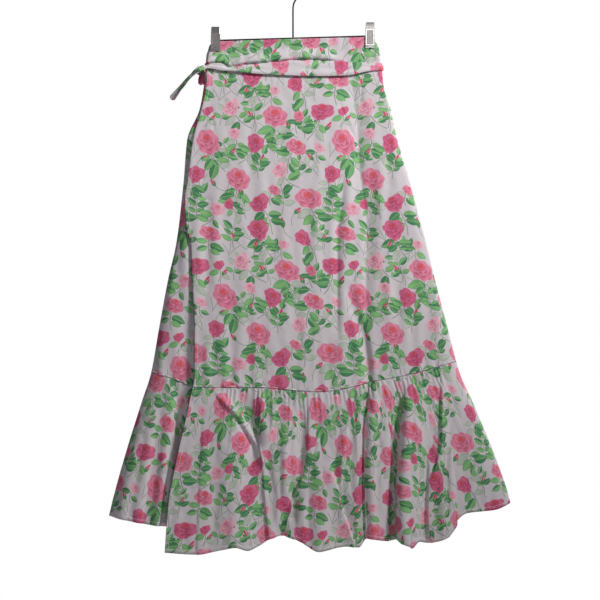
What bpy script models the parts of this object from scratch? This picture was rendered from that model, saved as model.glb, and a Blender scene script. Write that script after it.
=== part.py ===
"""A wrap skirt with a gathered hem ruffle, hanging by its waistband from a clip hanger.

Metres, +Z up. The front of the skirt faces -Y, and +X is at the right of someone who looks at the front.
The origin is the inside top of the hanger's hook. A drop is a distance below the level of the waistband's top.
The tables are in millimetres.
"""

import math

import bmesh
import bpy
import numpy as np

MM = 0.001

# Cloth. Pieces stand SEAM apart where they are sewn or touch.
CLOTH = 1.2 * MM
BAND_CLOTH = 2.2 * MM
TIE_CLOTH = 1.6 * MM
SEAM = 0.3 * MM

# How the layers lie.
FLATNESS = 0.6  # share of a layer's depth that it still has beside the side seams
TURN_STEPS = 4  # columns in a quarter turn at a side seam
FOLLOW = 0.8  # share of the top layer's folds that the layer beneath takes
HEM_LEVEL = 965 * MM  # drops at which the hem's and the seams' x are read
RUFFLE_LEVEL = 670 * MM
BAND_LEVEL = 57 * MM
TOP_LEVEL = 2 * MM

# Gathers. Each is one ridge and one valley.
OVER_GATHERS, UNDER_GATHERS, BACK_GATHERS = 51, 30, 44
GATHER_DEPTH, HIDDEN_GATHER_DEPTH = 2.3 * MM, 1.4 * MM
FLAT_LEFT_OF = -150 * MM  # the over ruffle isn't gathered left of this

# The hanger.
ROD_BELOW_HOOK = 115 * MM
ROD_RADIUS = 1.6 * MM
ROD_OVER_CLOTH = 2.2 * MM
ROD_TILT = -8 / 276.5
WIRE_RADIUS = 1.6 * MM
HOOK_RADIUS = 17 * MM
NECK_LENGTH = 22 * MM
NECK_JOIN = math.radians(-52)  # where the neck meets the ring
RING_ARC = math.radians(240)

# The clips.
CLIP_PLACES = (("left", -151 * MM), ("right", 150 * MM))
JAW_UP, JAW_DOWN = 28.5 * MM, 20.5 * MM
JAW_SHEET = 1.2 * MM
JAW_WIDTH, TAB_WIDTH = 18.4 * MM, 14.8 * MM
SHOULDER = 16 * MM  # the jaw is narrower above this height over the rod
TAB_SLOPE = 2 * MM  # height of the slope from the jaw's width to its tab's
JAW_LEAN = (3.4 * MM, 0.9 * MM, 0.7 * MM)  # how far it stands off the spring: at its top, neck and shoulder
TIP_FLARE, TIP_HEIGHT, LIP_HEIGHT = 0.6 * MM, 4.5 * MM, 1 * MM
SPRING_RADIUS, SPRING_LENGTH = 5 * MM, 11 * MM
RIM, RECESS = 3 * MM, 0.4 * MM  # the sunk panel in a front jaw

# The tie.
KNOT = (-177 * MM, -8 * MM, 57 * MM)  # x, y and drop of its middle
KNOT_SIZE = (7.5 * MM, 7 * MM, 9.5 * MM)
TIE_CROWN = 1 * MM
TIE_REACH = 1.9 * MM  # how far the tie runs on past the free edge, to the knot
LOOP_HALF = (8.3 * MM, 12.2 * MM)
LOOP_WIDTH = 12 * MM
LOOP_ASIDE, LOOP_OUT = 1.5 * MM, 4.2 * MM  # its middle from the knot's, to the right and to the front
LOOP_ROWS = ((-0.5, 1), (0, 0.85), (0.5, 0.5))  # share of its width from its middle, and of its size there
TAIL_Y = -10 * MM
TAIL_ROWS = (  # x, drop, turn towards the viewer in degrees, and width
    (-184.9, 61, 60, 11),
    (-190, 66, 42, 16),
    (-196, 71.5, 22, 20),
    (-203, 78, 10, 22),
    (-212.5, 89.5, 9, 22),
    (-221, 99.5, 12, 22),
    (-229, 110, 17, 22),
    (-237, 120.5, 22, 22),
)

# A row for each level: both side seams, the over panel's free edge, how far the front and back layers stand
# from the plane between them, how far the under layer lies behind the over layer, and the width of a side turn.
LEVELS = ("drop", "left", "edge", "right", "front", "back", "gap", "turn")
LEVEL_ROWS = (
    (-5, -156, -154, 158, 5, 6, 2.7, 4),
    (4, -159, -157, 161, 5, 6, 2.7, 4),
    (18, -164, -162, 166.5, 5, 6, 2.7, 4),
    (30, -168, -165, 168.5, 5.2, 6.3, 2.7, 4),
    (57, -170, -168, 173, 6, 7, 2.8, 5),
    (93, -174, -170, 177, 8, 9, 3.0, 6),
    (136, -182, -178, 190, 10, 12, 3.3, 8),
    (194, -206, -194, 203, 13, 16, 3.8, 11),
    (274, -213, -205, 227, 17, 20, 4.5, 15),
    (313, -217, -211, 237, 19, 22, 4.9, 17),
    (366, -223, -207, 252, 21, 25, 5.4, 19),
    (405, -229, -198, 262, 23, 27, 5.8, 20),
    (465, -243, -196, 276, 26, 30, 6.8, 22),
    (561, -261, -191, 301, 30, 35, 8.4, 25),
    (650, -277, -191, 325, 33, 40, 10.5, 28),
    (709, -296, -201, 351, 36, 43, 12.5, 30),
    (808, -327, -223, 392, 40, 47, 14, 32),
    (906, -354, -241, 424, 44, 51, 15, 34),
    (1000, -374, -248, 436, 47, 54, 16, 35),
)
HIDDEN_EDGE = ((57, 62), (1000, 150))  # drop and x of the under panel's free edge

# Lines across the skirt: x and drop.
BAND_TOP = ((-157, 10), (-142, 4.5), (-128, 3.7), (122, -3.5), (138, -3.8), (150, -2.5), (158, 2))
BAND_SEAM = ((-175, 57), (175, 59))
RUFFLE_SEAM = ((-277, 650), (-234, 662), (-187, 677), (-58, 678), (-21, 681), (37, 686), (75, 684))
RUFFLE_SEAM += ((124, 674), (160, 665), (224, 654), (287, 639), (325, 629))
BACK_SEAM = ((-277, 650), (-130, 668), (20, 672), (180, 652), (325, 629))
OVER_HEM = ((-246, 996), (-185, 999), (-136, 990), (-110, 985), (-86, 991), (-67, 983), (-43, 969))
OVER_HEM += ((-17, 963), (17, 975), (49, 992), (103, 983), (126, 985), (144, 968), (185, 974), (210, 970))
OVER_HEM += ((227, 985), (243, 974), (259, 977), (300, 964), (316, 938), (341, 920), (396, 914), (430, 903))
UNDER_HEM = ((-364, 929), (-273, 945), (-200, 951), (-60, 955), (140, 950))
BACK_HEM = ((-364, 929), (-200, 944), (0, 950), (220, 936), (430, 903))
TIE_TOP = ((-170, 51), (-150, 47), (-128, 49), (-62, 47), (35, 40), (90, 42), (172, 47))
TIE_FOOT = ((-170, 58), (-125, 63), (-52, 69), (35, 73), (107, 71), (154, 62), (172, 61))
TIE_BACK_TOP = ((-172, 46), (0, 33), (172, 47))
TIE_BACK_FOOT = ((-172, 62), (0, 63), (172, 61))

# Folds: the width of its left and right flank, then the drop, the x and the height of each point along it.
# A height is towards the viewer of that side, and a negative one is a valley.
FRONT_FOLDS = (
    (45, 12, ((90, 117, 0), (178, 125, 4), (371, 133, 6), (422, 142, 7), (549, 144, 6), (600, 146, 0))),
    (14, 12, ((240, 101, 0), (313, 95, -3), (393, 86, -5), (549, 87, -4), (590, 88, 0))),
    (16, 14, ((470, 104, 0), (516, 117, -4), (615, 142, -7), (693, 148, -9), (761, 140, -12), (965, 142, -13))),
    (34, 16, ((665, 216, 0), (700, 213, -10), (797, 206, -15), (933, 200, -20), (985, 196, -20))),
    (14, 36, ((665, 234, 0), (720, 232, 9), (797, 226, 13), (933, 222, 17), (985, 220, 18))),
    (26, 26, ((790, 262, 0), (838, 262, -5), (985, 266, -7))),
    (48, 12, ((820, 302, 0), (870, 302, 9), (985, 300, 18))),
    (34, 26, ((678, -92, 0), (728, -86, -9), (783, -68, -11), (830, -58, -6), (968, -48, -8))),
    (44, 36, ((678, -142, 0), (760, -122, 5), (985, -108, 8))),
    (26, 24, ((700, 24, 0), (740, 25, -9), (836, 21, -11), (892, 2, -15), (963, -18, -17))),
    (32, 32, ((790, 66, 0), (880, 60, 7), (985, 50, 10))),
    (22, 24, ((800, 76, 0), (892, 90, -5), (965, 114, -6))),
)
SIDE_FOLDS = (
    (14, 30, ((655, -228, 0), (700, -225, -6), (797, -219, -10), (950, -240, -10))),
    (40, 40, ((300, -222, 0), (465, -232, 2), (808, -292, 5), (945, -325, 6))),
)
BACK_FOLDS = (
    (34, 30, ((200, -60, 0), (420, -88, 5), (650, -112, 9), (950, -150, 15))),
    (36, 30, ((180, 40, 0), (400, 48, 6), (650, 64, 10), (950, 80, 17))),
    (30, 28, ((640, 170, 0), (760, 196, 10), (950, 236, 16))),
    (26, 30, ((640, -190, 0), (760, -214, 9), (950, -252, 14))),
    (30, 26, ((640, -20, 0), (760, -24, -8), (950, -34, -14))),
    (24, 28, ((640, 118, 0), (760, 134, -8), (950, 158, -13))),
)

CREAM = (0.62, 0.58, 0.62, 1)
PINK = (0.62, 0.12, 0.2, 1)
CHROME = (0.72, 0.72, 0.74, 1)
STEEL = (0.2, 0.2, 0.21, 1)


def smooth(rows):
    """A curve through rows of (place, value), in millimetres, that never swings past them."""
    place, value = np.array(rows, float).T * MM
    step = np.diff(place)
    slope = np.diff(value) / step
    before, after = slope[:-1], slope[1:]
    same_way = before * after > 0
    mean = 2 * before * after / np.where(same_way, before + after, 1)
    tangent = np.concatenate([slope[:1], np.where(same_way, mean, 0), slope[-1:]])

    def at(x):
        x = np.clip(x, place[0], place[-1])
        i = np.clip(np.searchsorted(place, x, side="right") - 1, 0, len(step) - 1)
        t = (x - place[i]) / step[i]
        start = value[i] * (1 + 2 * t) * (1 - t) ** 2 + tangent[i] * step[i] * t * (1 - t) ** 2
        end = value[i + 1] * t * t * (3 - 2 * t) + tangent[i + 1] * step[i] * t * t * (t - 1)
        return start + end

    return at


def level(name):
    """One column of LEVEL_ROWS as a curve over the drop."""
    column = LEVELS.index(name)
    return smooth([(row[0], row[column]) for row in LEVEL_ROWS])


left, edge, right = level("left"), level("edge"), level("right")
front, back, gap, turn = level("front"), level("back"), level("gap"), level("turn")
hidden = smooth(HIDDEN_EDGE)


def fold_height(folds, x, drop):
    """How far the folds lift the cloth."""
    total = np.zeros_like(x)
    for left_flank, right_flank, path in folds:
        drops, places, heights = np.array(path, float).T * MM
        middle = smooth([(row[0], row[1]) for row in path])(drop)
        height = np.interp(drop, drops, heights)
        flank = np.where(x < middle, left_flank, right_flank) * MM
        off = np.clip(np.abs(x - middle) / flank, 0, 1)
        total += height * (1 - off * off) ** 2
    return total


def bulge(x, drop):
    """1 in the middle of the skirt and FLATNESS beside the side seams."""
    across = (2 * x - left(drop) - right(drop)) / (right(drop) - left(drop))
    return FLATNESS + (1 - FLATNESS) * (1 - across**2)


def turned(flat, seam_y, from_side, drop):
    """A layer that turns round into its side seam."""
    t = np.clip(from_side / turn(drop), 0, 1)
    return seam_y + (flat - seam_y) * np.sqrt(1 - (1 - t) ** 2)


def near_side(from_side, drop):
    """Folds die out beside a side seam: 0 at the seam and 1 past its turn."""
    t = np.clip(from_side / (2 * turn(drop)), 0, 1)
    return t * t * (3 - 2 * t)


def left_seam_y(drop):
    return (FLATNESS * (back(drop) - front(drop)) + gap(drop)) / 2


def right_seam_y(drop):
    return FLATNESS * (back(drop) - front(drop)) / 2


def over_y(x, drop):
    from_side = right(drop) - x
    folds = fold_height(FRONT_FOLDS, x, drop) * near_side(from_side, drop)
    flat = -front(drop) * bulge(x, drop) - folds
    return turned(flat, right_seam_y(drop), from_side, drop)


def under_y(x, drop):
    from_side = x - left(drop)
    folds = FOLLOW * fold_height(FRONT_FOLDS, x, drop) + fold_height(SIDE_FOLDS, x, drop)
    flat = -front(drop) * bulge(x, drop) + gap(drop) - folds * near_side(from_side, drop)
    return turned(flat, left_seam_y(drop), from_side, drop)


def back_y(x, drop):
    from_left, from_right = x - left(drop), right(drop) - x
    from_side = np.minimum(from_left, from_right)
    seam_y = np.where(from_left < from_right, left_seam_y(drop), right_seam_y(drop))
    folds = fold_height(BACK_FOLDS, x, drop) * near_side(from_side, drop)
    return turned(back(drop) * bulge(x, drop) + folds, seam_y, from_side, drop)


class Layer:
    """A layer of the skirt: its surface, its two edges and which of them turn into a side seam."""

    def __init__(self, surface, start, end, start_turns, end_turns):
        self.surface, self.start, self.end = surface, start, end
        self.start_turns, self.end_turns = start_turns, end_turns

    def columns(self, count):
        """For each column, its share of the start edge, and its shift in widths of the side turn."""
        angles = np.linspace(0, math.pi / 2, TURN_STEPS + 1)[:-1]
        bend = list(1 - np.cos(angles))
        even = np.linspace(0, 1, count + 1)
        share, shift = list(1 - even), list((1 - even) * self.start_turns - even * self.end_turns)
        if self.start_turns:
            share, shift = [1] * TURN_STEPS + share, bend + shift
        if self.end_turns:
            share, shift = share + [0] * TURN_STEPS, shift + [-b for b in reversed(bend)]
        return np.array(share, float), np.array(shift, float)

    def across(self, columns, drop):
        """The x of the columns at a drop."""
        share, shift = columns
        return share * self.start(drop) + (1 - share) * self.end(drop) + shift * turn(drop)

    def grid(self, count, rows, top, foot):
        """The x and drop of every point. top and foot are (line, level that its x is read at)."""
        columns = self.columns(count)
        high = top[0](self.across(columns, top[1]))
        low = foot[0](self.across(columns, foot[1]))
        drop = high + (low - high) * np.array(rows, float)[:, None]
        return self.across(columns, drop), drop


OVER = Layer(over_y, edge, right, False, True)
UNDER = Layer(under_y, left, hidden, True, False)
BACK = Layer(back_y, left, right, True, True)


def moved(line, by):
    return lambda x: line(x) + by


def points(x, y, drop):
    return np.stack([x, y, -ROD_BELOW_HOOK - drop], axis=-1)


def normals(grid, seam_columns=()):
    """Unit normals of a grid of points. At its top and foot they are level, so that sewn edges face each other,
    and at a side seam they point sideways."""
    along, down = np.gradient(grid, axis=1), np.gradient(grid, axis=0)
    normal = np.cross(down, along)
    normal[[0, -1], :, 2] = 0
    for column in seam_columns:
        normal[:, column, 1:] = 0
    return normal / np.linalg.norm(normal, axis=-1, keepdims=True)


def material(name, colour, roughness, metallic):
    made = bpy.data.materials.new(name)
    made.use_nodes = True
    shader = made.node_tree.nodes["Principled BSDF"]
    shader.inputs["Base Color"].default_value = colour
    shader.inputs["Roughness"].default_value = roughness
    shader.inputs["Metallic"].default_value = metallic
    return made


def put(name, mesh, finish):
    colour, roughness, metallic = finish
    mesh.materials.append(material(name, colour, roughness, metallic))
    made = bpy.data.objects.new(name, mesh)
    bpy.context.scene.collection.objects.link(made)
    return made


def solid(name, verts, faces, finish):
    """A closed body with its faces turned outwards."""
    mesh = bpy.data.meshes.new(name)
    mesh.from_pydata([tuple(v) for v in verts], [], faces)
    work = bmesh.new()
    work.from_mesh(mesh)
    bmesh.ops.recalc_face_normals(work, faces=work.faces)
    work.to_mesh(mesh)
    work.free()
    return put(name, mesh, finish)


def sheet_faces(rows, cols, loop=False):
    """Quads of a sheet with two sides and a rim. With loop, the last column joins the first."""
    side = rows * cols
    last = cols if loop else cols - 1
    faces = []
    for r in range(rows - 1):
        for c in range(last):
            a, b = r * cols + c, r * cols + (c + 1) % cols
            quad = [a, b, b + cols, a + cols]
            faces.append(quad)
            faces.append([side + v for v in reversed(quad)])
    for c in range(last):
        for r in (0, rows - 1):
            a, b = r * cols + c, r * cols + (c + 1) % cols
            faces.append([a, b, side + b, side + a])
    for r in range(0 if loop else rows - 1):
        for c in (0, cols - 1):
            a, b = r * cols + c, (r + 1) * cols + c
            faces.append([a, b, side + b, side + a])
    return faces


def wall(name, grid, normal, thick, finish, loop=False):
    """A wall of cloth around a grid of middle points."""
    rows, cols, _ = grid.shape
    outer, inner = grid + normal * thick / 2, grid - normal * thick / 2
    verts = np.concatenate([outer.reshape(-1, 3), inner.reshape(-1, 3)])
    return solid(name, verts, sheet_faces(rows, cols, loop), finish)


CLOTH_FINISH = (CREAM, 0.85, 0)
TIE_FINISH = (PINK, 0.85, 0)
CHROME_FINISH = (CHROME, 0.25, 1)
STEEL_FINISH = (STEEL, 0.4, 1)


def seam_columns(layer, cols):
    """The columns of a grid that lie on a side seam."""
    return [0] * layer.start_turns + [cols - 1] * layer.end_turns


def sew_sides(layer, grid, towards):
    """Moves the ends of a grid half a seam apart from the piece that it is sewn to at a side."""
    for column in seam_columns(layer, grid.shape[1]):
        grid[:, column, 1] += towards * SEAM / 2


def make_panel(name, layer, count, rows, towards, seam_line):
    """A panel from the waistband's seam down to the ruffle's."""
    top = (moved(smooth(BAND_SEAM), SEAM / 2), BAND_LEVEL)
    foot = (moved(smooth(seam_line), -SEAM / 2), RUFFLE_LEVEL)
    x, drop = layer.grid(count, rows, top, foot)
    grid = points(x, layer.surface(x, drop), drop)
    sew_sides(layer, grid, towards)
    wall(name, grid, normals(grid, seam_columns(layer, grid.shape[1])), CLOTH, CLOTH_FINISH)


def gathers(layer, x, drop, start_drop, depth, flat_left_of):
    """The small folds under the ruffle's seam: a ridge in every second column, uneven in depth."""
    cols = x.shape[1]
    number = np.arange(cols)
    first = TURN_STEPS * layer.start_turns
    swing = np.where((number - first) % 2 == 1, 1.0, -1.0)
    uneven = 0.7 + 0.3 * np.sin(number * 1.9) * np.sin(number * 0.53 + 1)
    below = drop - start_drop
    grows = np.clip(below / (14 * MM), 0, 1)
    fades = 0.25 + 0.75 * np.exp(-((below / (120 * MM)) ** 2))
    inside = np.ones(cols)
    inside[: first + 1] = 0
    inside[cols - 1 - TURN_STEPS * layer.end_turns :] = 0
    inside = inside * (x[0] > flat_left_of)
    return depth * swing * uneven * grows * fades * inside


def make_ruffle(name, layer, count, rows, towards, seam_line, hem_line, depth, flat_left_of=-1):
    """A ruffle from its gathered seam down to the hem, with two columns to a gather."""
    top = (moved(smooth(seam_line), SEAM / 2), RUFFLE_LEVEL)
    foot = (smooth(hem_line), HEM_LEVEL)
    x, drop = layer.grid(2 * count, rows, top, foot)
    y = layer.surface(x, drop) + gathers(layer, x, drop, drop[0], depth, flat_left_of)
    grid = points(x, y, drop)
    first = TURN_STEPS * layer.start_turns
    odd = np.arange(first + 1, first + 2 * count, 2)
    grid[0, odd] = (grid[0, odd - 1] + grid[0, odd + 1]) / 2
    sew_sides(layer, grid, towards)
    wall(name, grid, normals(grid, seam_columns(layer, grid.shape[1])), CLOTH, CLOTH_FINISH)


def tie_start(drop):
    return edge(drop) - TIE_REACH


def band_stretch(layer, count, top, top_level, foot):
    """Points of one stretch of the waistband or tie, from the layer's start edge to its end edge."""
    x, drop = layer.grid(count, (0, 0.5, 1), (smooth(top), top_level), (smooth(foot), BAND_LEVEL))
    return points(x, layer.surface(x, drop), drop)


def make_waistband():
    """One strip in a spiral: under the front, round the left side, across the back and over the front."""
    under = band_stretch(UNDER, 12, BAND_TOP, TOP_LEVEL, BAND_SEAM)[:, ::-1]
    behind = band_stretch(BACK, 24, BAND_TOP, TOP_LEVEL, BAND_SEAM)[:, 1:]
    over = band_stretch(OVER, 24, BAND_TOP, TOP_LEVEL, BAND_SEAM)[:, ::-1][:, 1:]
    grid = np.concatenate([under, behind, over], axis=1)
    grid[-1, :, 2] += SEAM / 2
    wall("waistband", grid, normals(grid), BAND_CLOTH, CLOTH_FINISH)


def make_tie_strip():
    """The tie goes from the knot across the front, round the right side and back across the back."""
    front_stretch = Layer(over_y, tie_start, right, False, True)
    over = band_stretch(front_stretch, 26, TIE_TOP, BAND_LEVEL, TIE_FOOT)
    behind = band_stretch(BACK, 22, TIE_BACK_TOP, BAND_LEVEL, TIE_BACK_FOOT)[:, ::-1][:, 1:]
    grid = np.concatenate([over, behind], axis=1)
    outwards = normals(grid)
    off_band = BAND_CLOTH / 2 + SEAM + TIE_CLOTH / 2
    grid = grid + outwards * off_band
    grid[1] += outwards[1] * TIE_CROWN
    wall("tie_strip", grid, outwards, TIE_CLOTH, TIE_FINISH)


def make_knot():
    """A lump with a waist round its middle, where the tie is pulled tight."""
    rings, sides = 8, 12
    x0, y0, drop0 = KNOT
    verts = [(x0, y0, -ROD_BELOW_HOOK - drop0 + KNOT_SIZE[2])]
    for ring in range(1, rings):
        tall = math.pi * ring / rings
        for side in range(sides):
            round_ = 2 * math.pi * side / sides
            waist = 1 - 0.16 * math.exp(-(((tall - math.pi / 2) / 0.35) ** 2))
            pleat = 1 + 0.07 * math.cos(3 * round_ + ring)
            reach = math.sin(tall) * waist * pleat
            x = x0 + KNOT_SIZE[0] * reach * math.cos(round_)
            y = y0 + KNOT_SIZE[1] * reach * math.sin(round_)
            verts.append((x, y, -ROD_BELOW_HOOK - drop0 + KNOT_SIZE[2] * math.cos(tall)))
    verts.append((x0, y0, -ROD_BELOW_HOOK - drop0 - KNOT_SIZE[2]))
    faces = []
    for side in range(sides):
        after = (side + 1) % sides
        faces.append([0, 1 + side, 1 + after])
        faces.append([len(verts) - 1, len(verts) - 1 - sides + after, len(verts) - 1 - sides + side])
        for ring in range(rings - 2):
            a, b = 1 + ring * sides + side, 1 + ring * sides + after
            faces.append([a, a + sides, b + sides, b])
    solid("tie_knot", verts, faces, TIE_FINISH)


def make_tie_loop():
    """A drop-shaped loop of the tie that hangs from the knot, wide at its front and drawn in at its back."""
    middle_x = KNOT[0] + LOOP_ASIDE
    top_drop = KNOT[2] + KNOT_SIZE[2] + TIE_CLOTH / 2
    turns = np.linspace(0, 2 * math.pi, 16, endpoint=False)
    narrow = 1 - 0.35 * np.cos(turns)
    depth, size = np.array(LOOP_ROWS)[:, :, None].transpose(1, 0, 2)
    x = middle_x + LOOP_HALF[0] * np.sin(turns) * narrow * size
    drop = top_drop + LOOP_HALF[1] * (1 - np.cos(turns)) * size
    y = KNOT[1] - LOOP_OUT + LOOP_WIDTH * depth
    grid = points(*np.broadcast_arrays(x, y, drop))
    inside = grid.mean(axis=1, keepdims=True)
    out = (grid - inside) * (1, 0, 1)
    out /= np.linalg.norm(out, axis=-1, keepdims=True)
    wall("tie_loop", grid, out, TIE_CLOTH, TIE_FINISH, loop=True)


def make_tie_tail():
    """The free end: a strip seen almost edge on, which turns a little towards the viewer as it falls."""
    x, drop, angle, width = np.array(TAIL_ROWS).T
    middle = points(x * MM, np.full(len(x), TAIL_Y), drop * MM)
    along = np.gradient(middle, axis=0)
    along /= np.linalg.norm(along, axis=1, keepdims=True)
    angle = np.radians(angle)[:, None]
    across = np.cos(angle) * np.array((0, 1, 0)) + np.sin(angle) * np.cross(along, (0, 1, 0))
    out = np.cross(along, across)
    grid = np.stack([middle + across * width[:, None] * MM * s for s in (-0.5, 0, 0.5)])
    wall("tie_tail", grid, np.broadcast_to(out, grid.shape), TIE_CLOTH, TIE_FINISH)


def rod_drop(x):
    """The drop of the rod's axis, which hangs a little askew."""
    return x * ROD_TILT - ROD_OVER_CLOTH


def cylinder(name, start, end, radius, sides, finish):
    """A round bar between two points that differ in x and a little in z."""
    verts = []
    for x, y, z in (start, end):
        for side in range(sides):
            turn_ = 2 * math.pi * side / sides
            verts.append((x, y + radius * math.cos(turn_), z + radius * math.sin(turn_)))
    faces = [[s, (s + 1) % sides, sides + (s + 1) % sides, sides + s] for s in range(sides)]
    faces += [list(range(sides)), list(range(2 * sides - 1, sides - 1, -1))]
    made = solid(name, verts, faces, finish)
    made.data.shade_smooth()
    return made


def on_rod(x, above=0.0):
    return (x, 0.0, -ROD_BELOW_HOOK - rod_drop(x) + above)


def make_rod():
    reach = JAW_WIDTH / 2 - 1 * MM
    start, end = on_rod(CLIP_PLACES[0][1] - reach), on_rod(CLIP_PLACES[1][1] + reach)
    cylinder("hanger_rod", start, end, ROD_RADIUS, 12, STEEL_FINISH)


def make_hook():
    """A wire that rises from the rod, bends aside and comes back over its own stem."""
    foot = on_rod(0, ROD_RADIUS + SEAM)[2]
    ring = HOOK_RADIUS + WIRE_RADIUS
    join = np.array((ring * math.cos(NECK_JOIN), ring * math.sin(NECK_JOIN) - HOOK_RADIUS))
    neck = np.array((0, -HOOK_RADIUS - ring - NECK_LENGTH))
    pull = 1.2 * np.linalg.norm(join - neck)
    leaving, arriving = np.array((0, pull)), pull * np.array((-math.sin(NECK_JOIN), math.cos(NECK_JOIN)))
    route = [(0, foot), (0, (foot + neck[1]) / 2)]
    for t in np.linspace(0, 1, 9)[:-1]:
        ahead, back_ = t * t * (3 - 2 * t), 1 - t * t * (3 - 2 * t)
        bent = t * (1 - t) ** 2 * leaving - t * t * (1 - t) * arriving
        route.append(tuple(neck * back_ + join * ahead + bent))
    for angle in NECK_JOIN + RING_ARC * np.linspace(0, 1, 21):
        route.append((ring * math.cos(angle), ring * math.sin(angle) - HOOK_RADIUS))
    curve = bpy.data.curves.new("hanger_hook", "CURVE")
    curve.dimensions = "3D"
    curve.bevel_depth = WIRE_RADIUS
    curve.bevel_resolution = 2
    curve.use_fill_caps = True
    spline = curve.splines.new("POLY")
    spline.points.add(len(route) - 1)
    for point, (x, z) in zip(spline.points, route):
        point.co = (x, 0, z, 1)
    put("hanger_hook", curve, STEEL_FINISH)


def bent_sheet(name, centre_x, path, finish):
    """A strip of sheet metal that follows rows of (y, z, width)."""
    rows = np.array(path)
    along = np.gradient(rows[:, :2], axis=0)
    along /= np.linalg.norm(along, axis=1, keepdims=True)
    out = np.stack([along[:, 1], -along[:, 0]], axis=1) * JAW_SHEET / 2
    verts = []
    for (y, z, width), (out_y, out_z) in zip(rows, out):
        for side, face in ((-1, 1), (1, 1), (1, -1), (-1, -1)):
            verts.append((centre_x + side * width / 2, y + face * out_y, z + face * out_z))
    faces = [[0, 1, 2, 3], list(range(len(verts) - 4, len(verts)))]
    for row in range(len(rows) - 1):
        a = 4 * row
        for k in range(4):
            after = (k + 1) % 4
            faces.append([a + k, a + after, a + 4 + after, a + 4 + k])
    return solid(name, verts, faces, finish)


def sink_panel(jaw):
    """Sinks a panel into the jaw's widest front face, inside a raised rim."""
    work = bmesh.new()
    work.from_mesh(jaw.data)
    fronts = [face for face in work.faces if face.normal.y < -0.9]
    widest = max(fronts, key=lambda face: face.calc_area())
    bmesh.ops.inset_region(work, faces=[widest], thickness=RIM)
    bmesh.ops.inset_region(work, faces=[widest], thickness=RECESS, depth=-RECESS)
    work.to_mesh(jaw.data)
    work.free()


def make_clip(side, x):
    """Two jaws that pinch the waistband, and the barrel of the spring between them, which sits on the rod."""
    axis = on_rod(x)[2]
    tip_z = axis - JAW_DOWN
    tip_drop = -ROD_BELOW_HOOK - tip_z
    grip = BAND_CLOTH / 2 + SEAM + JAW_SHEET / 2
    top, neck, shoulder = [SPRING_RADIUS + SEAM + JAW_SHEET / 2 + lean for lean in JAW_LEAN]
    across = np.array((x - JAW_WIDTH / 2, x, x + JAW_WIDTH / 2))
    for name, facing, surface in (("front", -1, over_y), ("back", 1, back_y)):
        cloth = np.max(facing * surface(across, np.full(3, tip_drop)))
        path = (
            (facing * top, axis + JAW_UP, TAB_WIDTH),
            (facing * neck, axis + SHOULDER + TAB_SLOPE, TAB_WIDTH),
            (facing * shoulder, axis + SHOULDER, JAW_WIDTH),
            (facing * (cloth + grip + TIP_FLARE), tip_z + TIP_HEIGHT, JAW_WIDTH),
            (facing * (cloth + grip), tip_z + LIP_HEIGHT, JAW_WIDTH),
            (facing * (cloth + grip), tip_z, JAW_WIDTH),
        )
        jaw = bent_sheet(f"clip_{side}_{name}", x, path, CHROME_FINISH)
        if name == "front":
            sink_panel(jaw)
    reach = SPRING_LENGTH / 2
    above = ROD_RADIUS + SEAM + SPRING_RADIUS
    ends = [on_rod(x + s * reach, above) for s in (-1, 1)]
    cylinder(f"clip_{side}_spring", ends[0], ends[1], SPRING_RADIUS, 16, STEEL_FINISH)


def clear_scene():
    for old in list(bpy.data.objects):
        bpy.data.objects.remove(old, do_unlink=True)


def main():
    clear_scene()
    make_waistband()
    panel_rows = np.linspace(0, 1, 10)
    make_panel("over_panel", OVER, OVER_GATHERS, panel_rows, -1, RUFFLE_SEAM)
    make_panel("under_panel", UNDER, UNDER_GATHERS, np.linspace(0, 1, 8), -1, RUFFLE_SEAM)
    make_panel("back_panel", BACK, BACK_GATHERS, np.linspace(0, 1, 9), 1, BACK_SEAM)
    ruffle_rows = (0, 0.05, 0.2, 0.4, 0.6, 0.8, 1)
    hidden_rows = (0, 0.05, 0.3, 0.65, 1)
    over_line, under_line = (RUFFLE_SEAM, OVER_HEM), (RUFFLE_SEAM, UNDER_HEM)
    make_ruffle("over_ruffle", OVER, OVER_GATHERS, ruffle_rows, -1, *over_line, GATHER_DEPTH, FLAT_LEFT_OF)
    make_ruffle("under_ruffle", UNDER, UNDER_GATHERS, hidden_rows, -1, *under_line, HIDDEN_GATHER_DEPTH)
    make_ruffle("back_ruffle", BACK, BACK_GATHERS, hidden_rows, 1, BACK_SEAM, BACK_HEM, GATHER_DEPTH)
    make_tie_strip()
    make_knot()
    make_tie_loop()
    make_tie_tail()
    make_rod()
    make_hook()
    for side, x in CLIP_PLACES:
        make_clip(side, x)


main()
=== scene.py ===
"""A cotton wrap skirt with a rose print, a gathered hem ruffle and a tied waist, hung from a clip hanger.

The cloth pieces follow the same lines as the solids that they stand for: a drop is a distance below the level
of the waistband's top, and the tables are in millimetres.
"""

import math
from functools import partial

import bmesh
import bpy
import numpy as np
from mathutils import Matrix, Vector


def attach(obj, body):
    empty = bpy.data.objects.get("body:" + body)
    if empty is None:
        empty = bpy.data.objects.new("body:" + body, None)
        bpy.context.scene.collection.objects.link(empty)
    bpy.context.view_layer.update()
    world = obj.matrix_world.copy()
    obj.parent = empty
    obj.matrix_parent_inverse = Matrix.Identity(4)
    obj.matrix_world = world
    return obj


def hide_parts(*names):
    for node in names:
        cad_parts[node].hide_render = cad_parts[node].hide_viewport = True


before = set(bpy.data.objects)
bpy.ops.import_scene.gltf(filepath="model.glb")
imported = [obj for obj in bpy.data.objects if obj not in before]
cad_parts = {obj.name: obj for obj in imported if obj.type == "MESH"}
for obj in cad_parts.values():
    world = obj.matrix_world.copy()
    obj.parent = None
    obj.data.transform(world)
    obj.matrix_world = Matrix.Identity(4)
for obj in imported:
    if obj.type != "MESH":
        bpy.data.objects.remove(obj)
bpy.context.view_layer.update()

MM = 0.001
SEAM = 0.3 * MM  # between two sewn pieces, and between a jaw and what it pinches
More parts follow.
